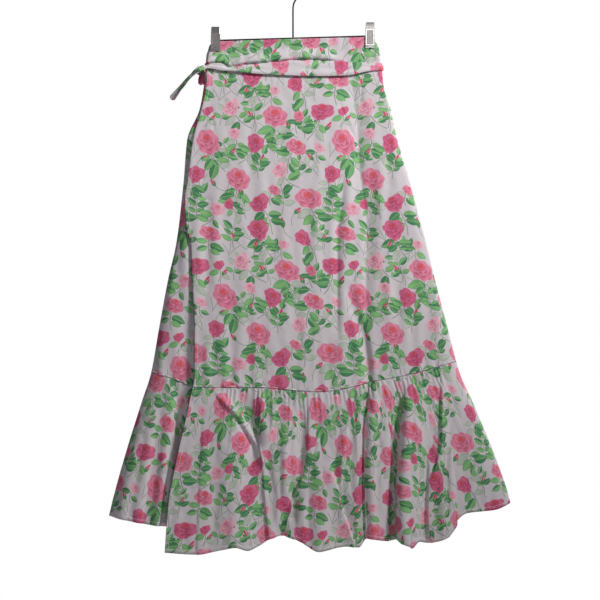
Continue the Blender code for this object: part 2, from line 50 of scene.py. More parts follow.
BAND_WIDTH, TIE_WIDTH = 56, 26  # of the sewn waistband and tie, in millimetres
BAND_OVERHANG = 7 * MM  # how far the waistband bulges out over the tie
TUCK = 1.6 * MM  # how far the tie's top edge presses into the waistband
TIE_OFF = 1.9 * MM  # from the skirt to the middle of the tie's thickness
TIE_REACH = 1.9 * MM  # how far the tie runs past the over panel's free edge, to meet the knot
KNOT = (-177 * MM, -8 * MM, 57 * MM)  # x, y and drop of its middle
LOOP_HALF = (8.3 * MM, 12.2 * MM)  # half the loop's width and half its drop
LOOP_WIDTH = 15 * MM  # of the tie where it makes the loop
TAIL_LENGTH, TAIL_WIDTH = 83, 22  # in millimetres
TAIL_Y = -10 * MM
BAND_CUT, KNOT_CUT, LOOP_CUT, TAIL_CUT = (88, 150), (197, 28), (48, 224), (166, 118)  # places on the print
# The tie's tail from the knot to its end: x and drop of its middle, its turn in degrees, and its width.
TAIL_ROWS = (
    (-184.9, 61, 60, 11),
    (-190, 66, 42, 16),
    (-196, 71.5, 26, 20),
    (-203, 78, 21, 22),
    (-212.5, 89.5, 26, 22),
    (-221, 99.5, 31, 22),
    (-228.5, 109, 36, 22),
    (-236, 118.5, 38, 22),
)

# ---- lines of the skirt, as in its solids ----
ROD_BELOW_HOOK = 115 * MM
FLATNESS = 0.6  # share of a layer's depth that it still has beside the side seams
FOLLOW = 0.8  # share of the top layer's folds that the layer beneath takes
TURN_STEPS = 14  # columns in a quarter turn at a side seam
HEM_LEVEL, RUFFLE_LEVEL, BAND_LEVEL, TOP_LEVEL = 965 * MM, 670 * MM, 57 * MM, 2 * MM
OVER_GATHERS, UNDER_GATHERS, BACK_GATHERS = 51, 30, 44
FLAT_LEFT_OF = -150 * MM  # the over ruffle isn't gathered left of this
LEVELS = ("drop", "left", "edge", "right", "front", "back", "gap", "turn")
LEVEL_ROWS = (
    (-5, -156, -154, 158, 5, 6, 2.7, 4),
    (4, -159, -157, 161, 5, 6, 2.7, 4),
    (18, -164, -162, 166.5, 5, 6, 2.7, 4),
    (30, -168, -165, 168.5, 5.2, 6.3, 2.7, 4),
    (57, -170, -168, 173, 6, 7, 2.8, 5),
    (93, -174, -170, 177, 8, 9, 3.0, 6),
    (136, -182, -178, 190, 10, 12, 3.3, 8),
    (194, -206, -194, 203, 13, 16, 3.8, 11),
    (274, -213, -205, 227, 17, 20, 4.5, 15),
    (313, -217, -211, 237, 19, 22, 4.9, 17),
    (366, -223, -207, 252, 21, 25, 5.4, 19),
    (405, -229, -198, 262, 23, 27, 5.8, 20),
    (465, -243, -196, 276, 26, 30, 6.8, 22),
    (561, -261, -191, 301, 30, 35, 8.4, 25),
    (650, -277, -191, 325, 33, 40, 10.5, 28),
    (709, -296, -201, 351, 36, 43, 12.5, 30),
    (808, -327, -223, 392, 40, 47, 14, 32),
    (906, -354, -241, 424, 44, 51, 15, 34),
    (1000, -374, -248, 436, 47, 54, 16, 35),
)
HIDDEN_EDGE = ((57, 62), (1000, 150))  # drop and x of the under panel's free edge

# Lines across the skirt: x and drop.
BAND_TOP = ((-157, 10), (-142, 4.5), (-128, 3.7), (122, -3.5), (138, -3.8), (150, -2.5), (158, 2))
BAND_SEAM = ((-175, 57), (175, 59))
RUFFLE_SEAM = ((-277, 650), (-234, 662), (-187, 677), (-58, 678), (-21, 681), (37, 686), (75, 684))
RUFFLE_SEAM += ((124, 674), (160, 665), (224, 654), (287, 639), (325, 629))
BACK_SEAM = ((-277, 650), (-130, 668), (20, 672), (180, 652), (325, 629))
OVER_HEM = ((-246, 996), (-185, 999), (-136, 990), (-110, 985), (-86, 991), (-67, 983), (-43, 969))
OVER_HEM += ((-17, 963), (17, 975), (49, 992), (103, 983), (126, 985), (144, 968), (185, 974), (210, 970))
OVER_HEM += ((227, 985), (243, 974), (259, 977), (300, 964), (316, 938), (341, 920), (396, 914), (430, 903))
UNDER_HEM = ((-364, 929), (-273, 945), (-200, 951), (-60, 955), (140, 950))
BACK_HEM = ((-364, 929), (-200, 944), (0, 950), (220, 936), (430, 903))
TIE_TOP = ((-170, 50), (-157, 46.5), (-141, 46), (-123, 54), (-109, 51.5), (-84, 48), (-53, 45.6), (12, 40))
TIE_TOP += ((32, 39.5), (60, 41), (90, 43), (172, 47))
TIE_FOOT = ((-170, 57), (-157, 58), (-137, 62), (-109, 64), (-84, 67), (-52, 69.5), (12, 72.5), (60, 73))
TIE_FOOT += ((107, 71), (154, 62), (172, 61))
TIE_BACK_TOP = ((-172, 46), (0, 33), (172, 47))
TIE_BACK_FOOT = ((-172, 62), (0, 63), (172, 61))

# Folds: the width of its left and right flank, then the drop, the x and the height of each point along it.
# A height is towards the viewer of that side, and a negative one is a valley. SHARP at the end marks a crease.
SHARP = True
LONG_VALLEY = ((66, 112, 0), (100, 117, -4), (178, 126, -6), (240, 129, -7), (377, 143, -8), (444, 141, -8))
LONG_VALLEY += ((680, 144, 0),)
FRONT_FOLDS = (
    (36, 34, LONG_VALLEY, SHARP),
    (18, 16, ((240, 101, 0), (313, 95, -4), (393, 86, -6), (549, 87, -5), (590, 88, 0)), SHARP),
    (16, 14, ((470, 104, 0), (516, 117, -4), (615, 142, -7), (693, 148, -9), (761, 140, -12), (965, 142, -13))),
    (34, 16, ((665, 216, 0), (700, 213, -10), (797, 206, -15), (933, 200, -20), (985, 196, -20))),
    (14, 36, ((665, 234, 0), (720, 232, 9), (797, 226, 13), (933, 222, 17), (985, 220, 18))),
    (26, 26, ((790, 262, 0), (838, 262, -5), (985, 266, -7))),
    (48, 12, ((820, 302, 0), (870, 302, 9), (985, 300, 18))),
    (34, 26, ((678, -92, 0), (728, -86, -9), (783, -68, -11), (830, -58, -6), (968, -48, -8))),
    (44, 36, ((678, -142, 0), (760, -122, 5), (985, -108, 8))),
    (26, 24, ((700, 24, 0), (740, 25, -9), (836, 21, -11), (892, 2, -15), (963, -18, -17))),
    (32, 32, ((790, 66, 0), (880, 60, 7), (985, 50, 10))),
    (22, 24, ((800, 76, 0), (892, 90, -5), (965, 114, -6))),
)
SIDE_FOLDS = (
    (14, 30, ((655, -228, 0), (700, -225, -6), (797, -219, -10), (950, -240, -10))),
    (40, 40, ((300, -222, 0), (465, -232, 2), (808, -292, 5), (945, -325, 6))),
)
BACK_FOLDS = (
    (34, 30, ((200, -60, 0), (420, -88, 5), (650, -112, 9), (950, -150, 15))),
    (36, 30, ((180, 40, 0), (400, 48, 6), (650, 64, 10), (950, 80, 17))),
    (30, 28, ((640, 170, 0), (760, 196, 10), (950, 236, 16))),
    (26, 30, ((640, -190, 0), (760, -214, 9), (950, -252, 14))),
    (30, 26, ((640, -20, 0), (760, -24, -8), (950, -34, -14))),
    (24, 28, ((640, 118, 0), (760, 134, -8), (950, 158, -13))),
)


def smooth(rows):
    """A curve through rows of (place, value), in millimetres, that never swings past them."""
    place, value = np.array(rows, float).T * MM
    step = np.diff(place)
    slope = np.diff(value) / step
    before, after = slope[:-1], slope[1:]
    same_way = before * after > 0
    mean = 2 * before * after / np.where(same_way, before + after, 1)
    tangent = np.concatenate([slope[:1], np.where(same_way, mean, 0), slope[-1:]])

    def at(x):
        x = np.clip(x, place[0], place[-1])
        i = np.clip(np.searchsorted(place, x, side="right") - 1, 0, len(step) - 1)
        t = (x - place[i]) / step[i]
        start = value[i] * (1 + 2 * t) * (1 - t) ** 2 + tangent[i] * step[i] * t * (1 - t) ** 2
        end = value[i + 1] * t * t * (3 - 2 * t) + tangent[i + 1] * step[i] * t * t * (t - 1)
        return start + end

    return at


def level(name):
    """One column of LEVEL_ROWS as a curve over the drop."""
    column = LEVELS.index(name)
    return smooth([(row[0], row[column]) for row in LEVEL_ROWS])


left, edge, right = level("left"), level("edge"), level("right")
front, back, gap, turn = level("front"), level("back"), level("gap"), level("turn")
hidden = smooth(HIDDEN_EDGE)


def fold_height(folds, x, drop):
    """How far the folds lift the cloth."""
    total = np.zeros_like(x)
    for left_flank, right_flank, path, *sharp in folds:
        drops, places, heights = np.array(path, float).T * MM
        middle = smooth([(row[0], row[1]) for row in path])(drop)
        height = np.interp(drop, drops, heights)
        flank = np.where(x < middle, left_flank, right_flank) * MM
        off = np.clip(np.abs(x - middle) / flank, 0, 1)
        total += height * (1 - (off if sharp else off * off)) ** 2
    return total


def bulge(x, drop):
    """1 in the middle of the skirt and FLATNESS beside the side seams."""
    across = (2 * x - left(drop) - right(drop)) / (right(drop) - left(drop))
    return FLATNESS + (1 - FLATNESS) * (1 - across**2)


def turned(flat, seam_y, from_side, drop):
    """A layer that turns round into its side seam."""
    t = np.clip(from_side / turn(drop), 0, 1)
    return seam_y + (flat - seam_y) * np.sqrt(1 - (1 - t) ** 2)


def near_side(from_side, drop):
    """Folds die out beside a side seam: 0 at the seam and 1 past its turn."""
    t = np.clip(from_side / (2 * turn(drop)), 0, 1)
    return t * t * (3 - 2 * t)


def left_seam_y(drop):
    """Where the under panel and the back panel meet."""
    return (FLATNESS * (back(drop) - front(drop)) + gap(drop)) / 2


def right_seam_y(drop):
    """Where the over panel and the back panel meet."""
    return FLATNESS * (back(drop) - front(drop)) / 2


def over_y(x, drop):
    """The over panel's surface."""
    from_side = right(drop) - x
    folds = fold_height(FRONT_FOLDS, x, drop) * near_side(from_side, drop)
    flat = -front(drop) * bulge(x, drop) - folds
    return turned(flat, right_seam_y(drop), from_side, drop)


def under_y(x, drop):
    """The under panel's surface, which follows the over panel's folds."""
    from_side = x - left(drop)
    folds = FOLLOW * fold_height(FRONT_FOLDS, x, drop) + fold_height(SIDE_FOLDS, x, drop)
    flat = -front(drop) * bulge(x, drop) + gap(drop) - folds * near_side(from_side, drop)
    return turned(flat, left_seam_y(drop), from_side, drop)


def back_y(x, drop):
    """The back panel's surface."""
    from_left, from_right = x - left(drop), right(drop) - x
    from_side = np.minimum(from_left, from_right)
    seam_y = np.where(from_left < from_right, left_seam_y(drop), right_seam_y(drop))
    folds = fold_height(BACK_FOLDS, x, drop) * near_side(from_side, drop)
    return turned(back(drop) * bulge(x, drop) + folds, seam_y, from_side, drop)


class Layer:
    """A layer of the skirt: its surface, its two edges and which of them turn into a side seam."""

    def __init__(self, surface, start, end, start_turns, end_turns):
        self.surface, self.start, self.end = surface, start, end
        self.start_turns, self.end_turns = start_turns, end_turns

    def columns(self, count):
        """For each column, its share of the start edge, and its shift in widths of the side turn."""
        angles = np.linspace(0, math.pi / 2, TURN_STEPS + 1)[:-1]
        bend = list(1 - np.cos(angles))
        even = np.linspace(0, 1, count + 1)
        share, shift = list(1 - even), list((1 - even) * self.start_turns - even * self.end_turns)
        if self.start_turns:
            share, shift = [1] * TURN_STEPS + share, bend + shift
        if self.end_turns:
            share, shift = share + [0] * TURN_STEPS, shift + [-b for b in reversed(bend)]
        return np.array(share, float), np.array(shift, float)

    def across(self, columns, drop):
        """The x of the columns at a drop."""
        share, shift = columns
        return share * self.start(drop) + (1 - share) * self.end(drop) + shift * turn(drop)

    def grid(self, count, rows, top, foot):
        """The x and drop of every point. top and foot are (line, level that its x is read at)."""
        columns = self.columns(count)
        high = top[0](self.across(columns, top[1]))
        low = foot[0](self.across(columns, foot[1]))
        drop = high + (low - high) * np.array(rows, float)[:, None]
        return self.across(columns, drop), drop


OVER = Layer(over_y, edge, right, False, True)
UNDER = Layer(under_y, left, hidden, True, False)
BACK = Layer(back_y, left, right, True, True)


def moved(line, by):
    """A line across the skirt, lower by so much."""
    return lambda x: line(x) + by


def points(x, y, drop):
    """Points in the skirt's frame, whose origin is the hanger's hook."""
    return np.stack([x, y, -ROD_BELOW_HOOK - drop], axis=-1)


def normals(grid, seam_columns=()):
    """Unit normals of a grid of points. At its top and foot they are level, so that sewn edges face each other,
    and at a side seam they point sideways."""
    along, down = np.gradient(grid, axis=1), np.gradient(grid, axis=0)
    normal = np.cross(down, along)
    normal[[0, -1], :, 2] = 0
    for column in seam_columns:
        normal[:, column, 1:] = 0
    return normal / np.linalg.norm(normal, axis=-1, keepdims=True)


def tie_start(drop):
    """The tie's left end, just past the over panel's free edge."""
    return edge(drop) - TIE_REACH


# ---- the print: roses, leafy sprigs and buds on a repeat ----
TILE = (264, 300)  # width and height of the print's repeat
OPEN, DEEP, PALE = 0, 1, 2  # kinds of rose
# Each rose: x, y, radius, the heading of its top, kind, then its stem's length and bend, and its leaves and
# their length. All lengths of the print are in millimetres and all headings and bends in degrees.
ROSES = (
    (40, 46, 27, 98, OPEN, 46, 30, 5, 30),
    (122, 24, 17, 60, PALE, 34, -40, 3, 26),
    (208, 36, 22, 118, DEEP, 46, -34, 5, 28),
    (86, 92, 19, 70, DEEP, 40, 40, 4, 26),
    (168, 84, 27, 84, OPEN, 42, -30, 5, 30),
    (250, 100, 18, 120, PALE, 36, 40, 3, 27),
    (20, 146, 21, 52, OPEN, 40, 36, 4, 27),
    (112, 156, 27, 104, OPEN, 46, 34, 5, 31),
    (204, 152, 20, 64, DEEP, 38, -36, 5, 26),
    (66, 214, 24, 80, DEEP, 42, -34, 5, 29),
    (154, 222, 20, 122, PALE, 44, 34, 4, 28),
    (240, 206, 27, 92, OPEN, 44, 34, 5, 30),
    (16, 268, 18, 128, DEEP, 38, -36, 3, 26),
    (100, 278, 21, 66, OPEN, 34, 40, 4, 27),
    (196, 284, 24, 96, DEEP, 40, 30, 5, 29),
    (64, 144, 12, 60, PALE, 22, 60, 2, 20),
    (148, 34, 12, 130, DEEP, 24, -50, 2, 20),
    (238, 62, 13, 50, OPEN, 22, 50, 2, 20),
    (164, 172, 13, 110, PALE, 24, -60, 2, 20),
    (22, 206, 13, 70, OPEN, 24, 40, 2, 20),
    (108, 216, 12, 100, DEEP, 22, -40, 2, 20),
    (238, 256, 12, 60, PALE, 24, 50, 2, 20),
)
# Each leafy sprig: x and y of its foot, heading, length, bend, leaflets and their length.
SPRIGS = (
    (82, 4, 100, 54, -40, 7, 22),
    (176, 8, 84, 48, 44, 7, 20),
    (250, 20, 66, 50, 40, 7, 21),
    (128, 96, 88, 40, -50, 6, 20),
    (206, 86, 96, 46, -36, 7, 21),
    (58, 92, 116, 44, 44, 6, 20),
    (150, 112, 78, 42, 40, 6, 20),
    (246, 126, 70, 46, 46, 7, 20),
    (36, 166, 84, 50, 40, 7, 22),
    (134, 190, 94, 42, -44, 6, 19),
    (200, 186, 76, 48, 44, 6, 21),
    (52, 248, 72, 46, 44, 7, 20),
    (140, 250, 100, 48, -44, 7, 22),
    (226, 240, 112, 40, 36, 5, 18),
)
# Each bud: x, y, length, turn, and the length and bend of its stalk.
BUDS = (
    (76, 52, 22, 60, 26, 40),
    (176, 52, 19, 118, 22, -40),
    (8, 16, 20, 40, 24, 50),
    (124, 70, 18, 128, 24, 50),
    (214, 112, 22, 76, 24, -50),
    (52, 120, 18, 132, 24, -40),
    (152, 130, 20, 48, 22, 40),
    (230, 152, 19, 100, 20, 40),
    (76, 178, 21, 60, 20, -50),
    (6, 180, 20, 112, 22, 40),
    (112, 196, 18, 50, 22, 50),
    (200, 200, 22, 130, 22, -50),
    (52, 262, 20, 66, 24, 40),
    (150, 262, 20, 114, 22, 40),
    (226, 246, 18, 52, 20, -40),
    (246, 288, 22, 88, 22, 50),
    (180, 246, 20, 70, 24, 30),
    (96, 122, 17, 30, 20, 60),
)
# Each spray of bare twigs: x and y of its foot, heading, length and number of twigs.
SPRAYS = (
    (20, 84, 80, 34, 3),
    (96, 64, 108, 30, 3),
    (146, 60, 60, 32, 2),
    (188, 116, 96, 34, 3),
    (256, 160, 84, 30, 3),
    (84, 128, 70, 30, 2),
    (30, 236, 100, 34, 3),
    (130, 236, 76, 32, 3),
    (216, 224, 60, 30, 2),
    (176, 264, 110, 32, 3),
    (110, 108, 84, 30, 2),
    (60, 20, 66, 32, 3),
    (226, 180, 104, 28, 3),
)
STEM_STEPS = 6
LEAF_STALK = 0.45  # half the width of a leaf's stalk
LEAF_LAYERS = ("leaf_under", "leaf_middle", "leaf_over")


def stem(x, y, heading, length, bend, wide):
    """Spots along a bent stem, each with its heading, and its short straight pieces."""
    spots, pieces = [(x, y, heading)], []
    for _ in range(STEM_STEPS):
        x, y, turn = spots[-1]
        turn += bend / STEM_STEPS
        end_x = x + length / STEM_STEPS * math.cos(math.radians(turn))
        end_y = y + length / STEM_STEPS * math.sin(math.radians(turn))
        pieces.append((x, y, end_x, end_y, wide))
        spots.append((end_x, end_y, turn))
    return spots, pieces


def leafy(spots, along, lean, size, stalk, leaves, pieces):
    """One leaf beside a stem, on a short stalk."""
    at = min(along * STEM_STEPS, STEM_STEPS - 0.001)
    i, t = int(at), at % 1
    x, y = (spots[i][k] * (1 - t) + spots[i + 1][k] * t for k in (0, 1))
    turn = spots[i + 1][2] + lean
    end_x = x + stalk * math.cos(math.radians(turn))
    end_y = y + stalk * math.sin(math.radians(turn))
    pieces.append((x, y, end_x, end_y, LEAF_STALK))
    number = len(leaves)
    turn += 7 * math.sin(3.1 * number)
    look = (0.13 + 0.37 * number) % 1
    leaves.append((end_x, end_y, size, turn, look, number % len(LEAF_LAYERS)))


def chart():
    """The print's leaves and buds, each as x, y, length, turn, look and layer, and its stems' pieces.

    A leaf's look is from 0 to 1, and a bud's is from 1 to 2.
    """
    leaves, pieces = [], []
    for x, y, radius, top, kind, length, bend, number, leaf in ROSES:
        down = math.radians(top + 180)
        foot = (x + 0.7 * radius * math.cos(down), y + 0.7 * radius * math.sin(down))
        spots, some = stem(*foot, top + 180, length, bend, 0.6)
        pieces += some
        for k in range(number):
            side = 1 if k % 2 else -1
            along = 0.05 + 0.6 * k / number
            size = leaf * (0.9 + 0.2 * math.sin(2.1 * k + x))
            leafy(spots, along, side * (74 - 20 * along), size, 3, leaves, pieces)
    for x, y, heading, length, bend, number, leaf in SPRIGS:
        spots, some = stem(x, y, heading, length, bend, 0.5)
        pieces += some
        for k in range(number):
            side = 1 if k % 2 else -1
            along = 0.3 + 0.7 * (k // 2) / ((number - 1) // 2)
            lean = side * 62 if k < number - 1 or number % 2 == 0 else 0
            size = leaf * (0.9 + 0.2 * math.sin(1.7 * k + y))
            leafy(spots, min(along, 1), lean, size, 1.5, leaves, pieces)
    for number, (x, y, length, turn, stalk, bend) in enumerate(BUDS):
        leaves.append((x, y, length, turn, 1 + (0.29 * number) % 0.9, number % len(LEAF_LAYERS)))
        pieces += stem(x, y, turn + 180, stalk, bend, 0.4)[1]
    for x, y, heading, length, number in SPRAYS:
        for k in range(number):
            lean = 24 * (k - (number - 1) / 2)
            pieces += stem(x, y, heading + lean, length * (1 - 0.13 * k), lean, 0.36)[1]
    return np.array(leaves), np.array(pieces)


def wrapped(centres, spots):
    """From each spot to each centre's nearest repeat."""
    tile = np.array(TILE) * MM
    off = centres[:, None, :] - spots[None, :, :]
    return (off + tile / 2) % tile - tile / 2


def seen_from(corners, centres, off, nearest, turn, size):
    """Corners of faces in the frame of the motif nearest to each face."""
    away = np.take_along_axis(off, nearest[:, None, None].repeat(2, axis=2), axis=1)[:, 0]
    local = corners - (centres - away)[:, None, :]
    c, s = np.cos(turn)[:, None], np.sin(turn)[:, None]
    x = local[..., 0] * c + local[..., 1] * s
    y = local[..., 1] * c - local[..., 0] * s
    return x / size[:, None], y / size[:, None]


def print_at(corners):
    """For faces with their corners on the flat cloth, what each layer of the print says at each corner."""
    leaves, stems = chart()
    centres = corners.mean(axis=1)
    layers = {}

    # The nearest rose for its size.
    roses = np.array(ROSES, float)
    off = wrapped(centres, roses[:, :2] * MM)
    nearest = np.argmin((off**2).sum(-1) / (roses[None, :, 2] * MM) ** 2, axis=1)
    mine = roses[nearest]
    x, y = seen_from(corners, centres, off, nearest, np.radians(mine[:, 3] - 90), mine[:, 2] * MM)
    look = mine[:, 4] + 0.28 + 0.16 * np.abs(np.sin(nearest * 2.3))
    layers["rose"] = np.stack([x, y, np.broadcast_to(look[:, None], x.shape)], axis=-1)

    # In each layer, the leaf or bud whose middle line is nearest.
    for layer, name in enumerate(LEAF_LAYERS):
        some = leaves[leaves[:, 5] == layer]
        off = wrapped(centres, some[:, :2] * MM)
        turn, size = np.radians(some[:, 3]), some[:, 2] * MM
        along = (off[..., 0] * np.cos(turn) + off[..., 1] * np.sin(turn)) / size
        aside = (off[..., 1] * np.cos(turn) - off[..., 0] * np.sin(turn)) / size
        distance = np.hypot(along - np.clip(along, 0.1, 0.9), aside) * size
        nearest = np.argmin(distance, axis=1)
        mine = some[nearest]
        x, y = seen_from(corners, centres, off, nearest, turn[nearest], size[nearest])
        layers[name] = np.stack([x, y, np.broadcast_to(mine[:, 4:5], x.shape)], axis=-1)

    # The nearest piece of a stem, and how far past its ends a corner is.
    feet, tips = stems[:, :2] * MM, stems[:, 2:4] * MM
    length = np.linalg.norm(tips - feet, axis=1)
    way = (tips - feet) / length[:, None]
    turn = np.arctan2(way[:, 1], way[:, 0])
    off = wrapped(centres, feet)
    along = off[..., 0] * way[:, 0] + off[..., 1] * way[:, 1]
    aside = off[..., 1] * way[:, 0] - off[..., 0] * way[:, 1]
    distance = np.hypot(along - np.clip(along, 0, length), aside)
    nearest = np.argmin(distance, axis=1)
    x, y = seen_from(corners, centres, off, nearest, turn[nearest], np.full(len(nearest), MM))
    wide = np.broadcast_to(stems[nearest, 4:5], x.shape)
    beyond = np.clip(np.maximum(-x, x - (length[nearest] / MM)[:, None]) - 2.5, 0, None)
    layers["stem"] = np.stack([y, wide, beyond], axis=-1)
    return layers


# ---- materials ----
def linear(code):
    """An sRGB hex colour as linear light."""
    parts = [int(code[i : i + 2], 16) / 255 for i in (0, 2, 4)]
    return tuple(c / 12.92 if c <= 0.04045 else ((c + 0.055) / 1.055) ** 2.4 for c in parts) + (1,)


def node(tree, kind, *inputs, out="", **settings):
    """Adds a node, named as kind or kind.operation.

    An input is a value, another node's output, or None to leave it. out names the output that is returned.
    """
    kind, _, operation = kind.partition(".")
    made = tree.nodes.new("ShaderNode" + kind)
    if operation:
        made.operation = operation
    for name, value in settings.items():
        setattr(made, name, value)
    for socket, value in zip([s for s in made.inputs if s.enabled], inputs):
        if isinstance(value, bpy.types.NodeSocket):
            tree.links.new(value, socket)
        elif value is not None:
            socket.default_value = value
    outs = [s for s in made.outputs if s.enabled]
    return next((s for s in outs if s.name == out), outs[0])


def new_material(name):
    """A material, what adds a node to it, and its shader."""
    made = bpy.data.materials.new(name)
    made.use_nodes = True
    return made, partial(node, made.node_tree), made.node_tree.nodes["Principled BSDF"]


# Rings of a rose's petals, from the outside in: size, share of the tilt, petals, depth of the scallops, phase,
# shade inside and at the rim, and how fast it changes.
ROSE_RINGS = (
    (1.00, 0.00, 7, 0.13, 0.2, 0.10, 0.86, 1.5),
    (0.83, 0.10, 5, 0.16, 1.1, 0.00, 0.80, 1.9),
    (0.65, 0.45, 5, 0.16, 2.3, 0.12, 1.00, 2.4),
    (0.48, 0.75, 3, 0.17, 0.6, 0.00, 0.92, 1.8),
    (0.31, 0.95, 3, 0.18, 1.8, 0.05, 0.66, 1.4),
)
DRAWN_THREADS, STITCH_LENGTH = 0.9 * MM, 3 * MM
GROUND, GROUND_WASH = linear("CBC0CA"), linear("D7D1CE")
STEM_GREEN, LEAF_DARK, LEAF_LIGHT = linear("66855F"), linear("3C8353"), linear("86C079")
LEAF_VEIN, LEAF_RIB, CUP_GREEN = linear("235F45"), linear("A9CD92"), linear("4F8F54")
BUD_DARK, BUD_LIGHT = linear("C63C60"), linear("EE94A8")
# The dark and light pink of each kind of rose.
ROSE_PINKS = {
    OPEN: (linear("BA2A55"), linear("EA95AD")),
    PALE: (linear("D06083"), linear("F0C0CB")),
    DEEP: (linear("A61D4B"), linear("DC7296")),
}
ROSE_HEART = linear("E65A55")
THREAD = linear("E6E1E4")


def shaken(add, shake, attribute, amount):
    """A motif's own x, y and third value, with its outline shaken a little like a brush's."""
    raw = add("Attribute", attribute_name=attribute, out="Vector")
    pushed = add("VectorMath.MULTIPLY_ADD", shake, (amount, amount, 0), raw)
    return [add("SeparateXYZ", pushed, out=axis) for axis in "XYZ"]


def stem_mask(add, shake, grain):
    """How much of a stem shows, thinner where the cloth's grain takes less colour."""
    aside, wide, beyond = shaken(add, shake, "stem", 0.9)
    off = add("Math.SUBTRACT", add("Math.ADD", add("Math.ABSOLUTE", aside), beyond), wide)
    inside = add("MapRange", off, -0.1, 0.35, 1.0, 0.0, interpolation_type="SMOOTHSTEP")
    return add("Math.MULTIPLY", inside, add("MapRange", grain, 0.3, 0.6, 0.55, 0.95))


def leaf_mask(add, shake, attribute):
    """Where a leaf or bud is, with its x, its y, its look, whether it is a bud, and its darker outline."""
    x, y, look = shaken(add, shake, attribute, 0.05)
    bud = add("Math.GREATER_THAN", look, 1.0)
    bent = add("Math.POWER", add("Math.MAXIMUM", x, 0.0001), 0.82)
    arch = add("Math.SINE", add("Math.MULTIPLY", add("Math.MINIMUM", bent, 1.0), math.pi))
    fullness = add("Math.POWER", add("Math.MAXIMUM", arch, 0.0001), 0.8)
    teeth = add("Math.FRACT", add("Math.MULTIPLY", x, 7.0))
    teeth = add("Math.MULTIPLY", teeth, add("Math.MULTIPLY_ADD", bud, -0.035, 0.035))
    widest = add("Math.MULTIPLY_ADD", bud, -0.02, 0.27)
    half = add("Math.MULTIPLY_ADD", fullness, widest, teeth)
    within = add("Math.SUBTRACT", half, add("Math.ABSOLUTE", y))
    inside = add("MapRange", within, 0.0, 0.035, interpolation_type="SMOOTHSTEP")
    inside = add("Math.MULTIPLY", inside, add("Math.GREATER_THAN", arch, 0.02))
    outline = add("MapRange", within, 0.03, 0.065, 0.55, 0.0)
    return inside, (x, y, look, bud, outline)


def leaf_colour(add, wash, x, y, look, bud, outline):
    """A leaf has a pale rib and dark veins, and a bud has a green cup and streaked petals."""
    away = add("Math.ABSOLUTE", y)
    rib = add("MapRange", away, 0.008, 0.03, 0.6, 0.0)
    vein = add("Math.SUBTRACT", add("Math.MULTIPLY", x, 40.8), add("Math.MULTIPLY", away, 44.0))
    vein = add("MapRange", add("Math.SINE", vein), 0.45, 1.0, 0.0, 0.34)
    light = add("Math.MULTIPLY_ADD", add("Math.SIGN", y), 0.22, add("Math.FRACT", look))
    light = add("MapRange", light, 0.2, 0.8, interpolation_type="SMOOTHSTEP")
    light = add("Math.MULTIPLY_ADD", add("Math.SUBTRACT", wash, 0.5), 1.8, light, use_clamp=True)
    leaf = add("Mix", light, LEAF_DARK, LEAF_LIGHT, data_type="RGBA")
    sketched = add("Math.GREATER_THAN", add("Math.FRACT", add("Math.MULTIPLY", look, 7.3)), 0.8)
    leaf = add("Mix", add("Math.MULTIPLY", sketched, 0.75), leaf, GROUND_WASH, data_type="RGBA")
    leaf = add("Mix", vein, leaf, LEAF_VEIN, data_type="RGBA")
    leaf = add("Mix", rib, leaf, LEAF_RIB, data_type="RGBA")
    leaf = add("Mix", outline, leaf, LEAF_VEIN, data_type="RGBA")
    sepals = add("Math.ABSOLUTE", add("Math.SINE", add("Math.MULTIPLY", y, 16.0)))
    cup = add("Math.SUBTRACT", x, add("Math.MULTIPLY_ADD", sepals, 0.16, 0.34))
    petal = add("MapRange", cup, -0.02, 0.03)
    streak = add("Math.SINE", add("Math.MULTIPLY_ADD", y, 26.0, add("Math.MULTIPLY", x, 6.0)))
    pinks = add("Mix", add("MapRange", streak, -0.2, 0.9), BUD_DARK, BUD_LIGHT, data_type="RGBA")
    bloom = add("Mix", petal, CUP_GREEN, pinks, data_type="RGBA")
    return add("Mix", bud, leaf, bloom, data_type="RGBA")


